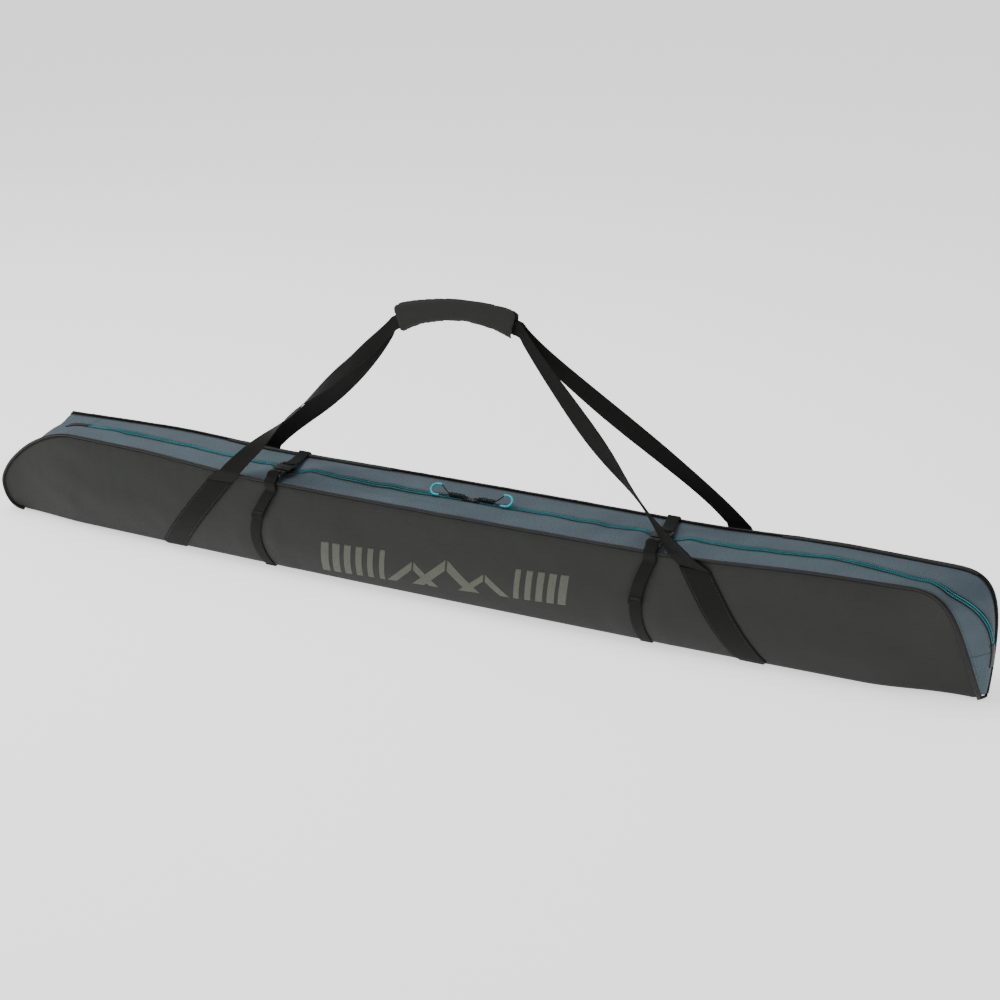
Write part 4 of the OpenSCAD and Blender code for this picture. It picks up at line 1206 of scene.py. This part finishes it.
for k, name in [(0, "left"), (1, "right")]:
    x, xb = strap_x[k], strap_back_x[k]
    zf, zb, yf = seam_height(x, -1), seam_height(x, 1), half_depth(x)
    rails = girth_rails(lambda side, z: strap_at(k, side, z), strap_under_x[k], strap_half, strap_half, zf - 12, zb - 12)
    for rail, edge in zip(rails, (-strap_half, strap_half)):
        # Up over the front piping, under the lock's first bar, over its middle bar and down again
        lead = [(buckle_y - 8.4, buckle_z + 3.0), (buckle_y - 8.6, buckle_z + 7.6), (buckle_y - 11.2, buckle_z + 8.8),
                (buckle_y - 13.4, buckle_z + 7.4), (buckle_y - 13.8, buckle_z + 2.4), (buckle_y - 17.5, buckle_z + 0.9),
                (-(yf + 0.6), zf + 6.6), (-(yf + 5.4), zf + 4.4), (-(yf + 6.4), zf - 2)]
        rail[:0] = [Vector((x + edge, y, z)) for y, z in lead]
        rail += [Vector((xb + edge, y, z)) for y, z in [(yf + 6.4, zb - 2), (yf + 5.8, zb + 4.6), (yf + 1.6, zb + 7.2)]]
    strap_piece(name + "_strap_band", name + "_strap", rails)

    # The tail leaves the lock over its front bar
    drop = (106.0, 84.0)[k]

    def tail_spot(away, z, lift_off):
        """A point off the side panel, this far across the tail from its middle."""
        return on_cloth(-1, strap_at(k, -1, z) - 1 + away, z, web_out + lift_off)

    over = [(buckle_y - 12.2, buckle_z + 6.2), (buckle_y - 12.8, buckle_z + 8.0), (buckle_y - 15, buckle_z + 9.0),
            (buckle_y - 19.6, buckle_z + 8.4), (-(yf + 2.5), zf + 9.2), (-(yf + 8.0), zf + 6.2), (-(yf + 9.2), zf - 1)]
    rails = [[Vector((x + edge, y, z)) for y, z in over]
             + [tail_spot(edge, lerp(zf - 11, drop - 8, j / 8), 2.4 + 1.3 * sin(pi * j / 8)) for j in range(9)]
             for edge in (-strap_half, strap_half)]
    strap_piece(name + "_strap_tail_band", name + "_strap_tail", rails)

    def hem(u, v):
        return tail_spot(lerp(-10.2, 10.2, v), lerp(drop + 4, drop - 9.4, u), 3.9)

    sheet_piece(name + "_strap_tail_hem", hem, 8, 4, (14, strap_w), (webbing, "webbing"), wall=1.3, rounded=0.3)
    bm = bmesh.new()
    for z in (drop + 1.5, drop - 0.5):
        line = [tail_spot(lerp(-8.5, 8.5, t / 4), z, 3.9) for t in range(5)]
        sew(bm, line, [Vector((0, -1, 0))] * len(line), pitch=2.8)
    finish_piece(name + "_strap_tail_stitches", bm, thread, "bag", "cord_and_piping")

    # From the back seam to the socket; it folds down when the buckle is opened
    across = [(yf + 1.2, zb + 7.2, 0), (yf - 10, zb + 5.2, 0.15), (lerp(yf, buckle_y + 31, 0.5), zb + 4.6, 0.5)]
    across += [(buckle_y + y, buckle_z + z, share) for y, z, share in [
        (34, 6.0, 0.95), (30, 9.4, 1), (27.4, 9.9, 1), (25.6, 8.4, 1), (25.4, 1.5, 1)]]
    rails = [[Vector((lerp(xb, x, share) + edge, y, z)) for y, z, share in across] for edge in (-strap_half, strap_half)]
    top_band = strap_piece(name + "_strap_top_band", name + "_strap_top", rails, flip=True)
    free_run = (yf - buckle_y - 25.4) * MM
    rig.squash(top_band, name + "_buckle_release", axis=(0, 1, 0), anchor=(0, yf * MM, 0), keep=1 - buckle_run / free_run)


# ---- Buckles and sliders ----
# Side-release buckles moulded in black acetal: a ladder-lock plug with two sprung arms and
# a socket. The zip's sliders are die-cast zinc, painted black.
# Moulded acetal: satin black with a fine spark-eroded grain and soft broken edges
acetal, tree, shader = start_material("moulded_acetal", 0.4, IOR=1.48, Specular_IOR_Level=0.5)
place = add(tree, "TexCoord")
spark = add(tree, "TexNoise", {"Vector": place, "Scale": 1400.0, "Detail": 2.0})
cloud = add(tree, "TexNoise", {"Vector": place, "Scale": 90.0})
tint = add(tree, "Mix", {0: cloud, 6: "#121312", 7: "#1e1f1e"}, **BLEND)
gloss = add(tree, "MapRange", {"Value": spark, "To Min": 0.34, "To Max": 0.5})
lift = add(tree, "Bump", {"Height": spark, "Strength": 0.25, "Distance": 0.0002})
connect(tree, shader, Base_Color=tint, Roughness=gloss, Normal=lift)
# Painted zinc: black lacquer over die-casting, glossier, worn through a little at the rim
painted, tree, shader = start_material("black_painted_zinc", 0.32, Coat_Weight=0.4, Coat_Roughness=0.2)
place = add(tree, "TexCoord")
wear = add(tree, "TexNoise", {"Vector": place, "Scale": 700.0, "Detail": 4.0})
worn = add(tree, "MapRange", {"Value": wear, "From Min": 0.62, "From Max": 0.72})
tint = add(tree, "Mix", {0: worn, 6: "#141514", 7: "#3c3d3d"}, **BLEND)
connect(tree, shader, Base_Color=tint, Metallic=worn)

for hand in ("left", "right"):
    for part in ("plug", "socket", "arm_inner", "arm_outer", "slider"):
        node = frame["nodes"][hand + "_" + part]
        for material_slot in node.material_slots:
            material_slot.material = painted if part == "slider" else acetal
        joined = node.modifiers.new("joined", "WELD")
        joined.merge_threshold = 0.00001
        broken = node.modifiers.new("broken_edge", "BEVEL")
        broken.width = 0.0002 if part == "slider" else 0.00045
        broken.segments = 3
        broken.angle_limit = radians(35)

# Raised finger ribs on each socket's top face
for k, name in [(0, "left"), (1, "right")]:
    bm = bmesh.new()
    for n in range(4):
        place = Matrix.Translation((strap_x[k], buckle_y + 6.5 + 2.6 * n, buckle_z + 8.55))
        bmesh.ops.create_cube(bm, size=1.0, matrix=place @ Matrix.Diagonal((15 - 1.6 * n, 0.9, 0.5, 1)))
    bmesh.ops.bevel(bm, geom=bm.edges[:], offset=0.2, affect="EDGES", segments=2, profile=0.5, material=-1)
    finish_piece(name + "_socket_ribs", bm, acetal, name + "_socket", "buckle_plastic")


# ---- Printed mark ----
# A band of slanted bars and peaks is screen-printed on the front, in a flexible grey ink
# that follows the cloth.
# Plastisol ink: a thin rubbery film, grey-olive, speckled where it lies on the weave
ink, tree, shader = start_material("screen_printed_ink", 0.55, Specular_IOR_Level=0.2)
place = add(tree, "TexCoord")
speck = add(tree, "TexNoise", {"Vector": place, "Scale": 420.0, "Detail": 3.0})
cloud = add(tree, "TexNoise", {"Vector": place, "Scale": 11.0, "Detail": 3.0})
deep = add(tree, "Mix", {0: speck, 6: "#41433c", 7: "#5d5f56"}, **BLEND)
worn = add(tree, "Mix", {0: cloud, 6: (0.86, 0.88, 0.88, 1), 7: (1.14, 1.12, 1.1, 1)}, **BLEND)
final = add(tree, "Mix", {0: 1.0, 6: deep, 7: worn}, **MULTIPLY)
lift = add(tree, "Bump", {"Height": speck, "Strength": 0.2, "Distance": 0.0002})
connect(tree, shader, Base_Color=final, Normal=lift)

mark_from, mark_to = -203.0, 250.0


def mark_spot(a, b):
    """a runs along the mark in mm and b up it from 0 to 1; it leans and rises a little to the right."""
    t = (a - mark_from) / (mark_to - mark_from)
    z = lerp(lerp(18, 47, t), lerp(76, 100, t), b)
    x = a + 9 * (b - 0.5)
    return Vector((x, -(side_y(x, z) + side_relief(-1, x, z) + 0.28), z))


def lay_bars(bars):
    for start_a, width in bars:
        lay_sheet(bm, 8, 22, (width, 58), lambda u, v: mark_spot(start_a + width * u, v))


bm = bmesh.new()
lay_bars([(mark_from + 7 + n * 22, 15.0 - n * 1.1) for n in range(6)])
# Three overlapping peaks with a clear gap along their ridge
for foot_a, half, tall in [(-25.0, 46.0, 0.78), (35.0, 60.0, 1.0), (103.0, 44.0, 0.7)]:
    for s in (-1, 1):
        def slope(u, v):
            height = min(1.0, tall * u * 0.98 - 0.36 * v * tall) if u > 0.37 * v else 0.0
            return mark_spot(foot_a + s * half * (1 - u) + s * 1.5, max(0.0, height))

        lay_sheet(bm, 26, 10, (half, 20), slope, flip=s < 0)
lay_bars([(155.0 + n * 19, 9.5 + n * 1.1) for n in range(5)])
printed = finish_piece("printed_mark", bm, ink, "bag", "charcoal_fabric")
thicken(printed, 0.2)


new_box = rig.bounds()
with open("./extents.json", "w") as out_file:
    json.dump({"cad": [list(v) for v in cad_box], "visual": [list(v) for v in new_box]}, out_file)
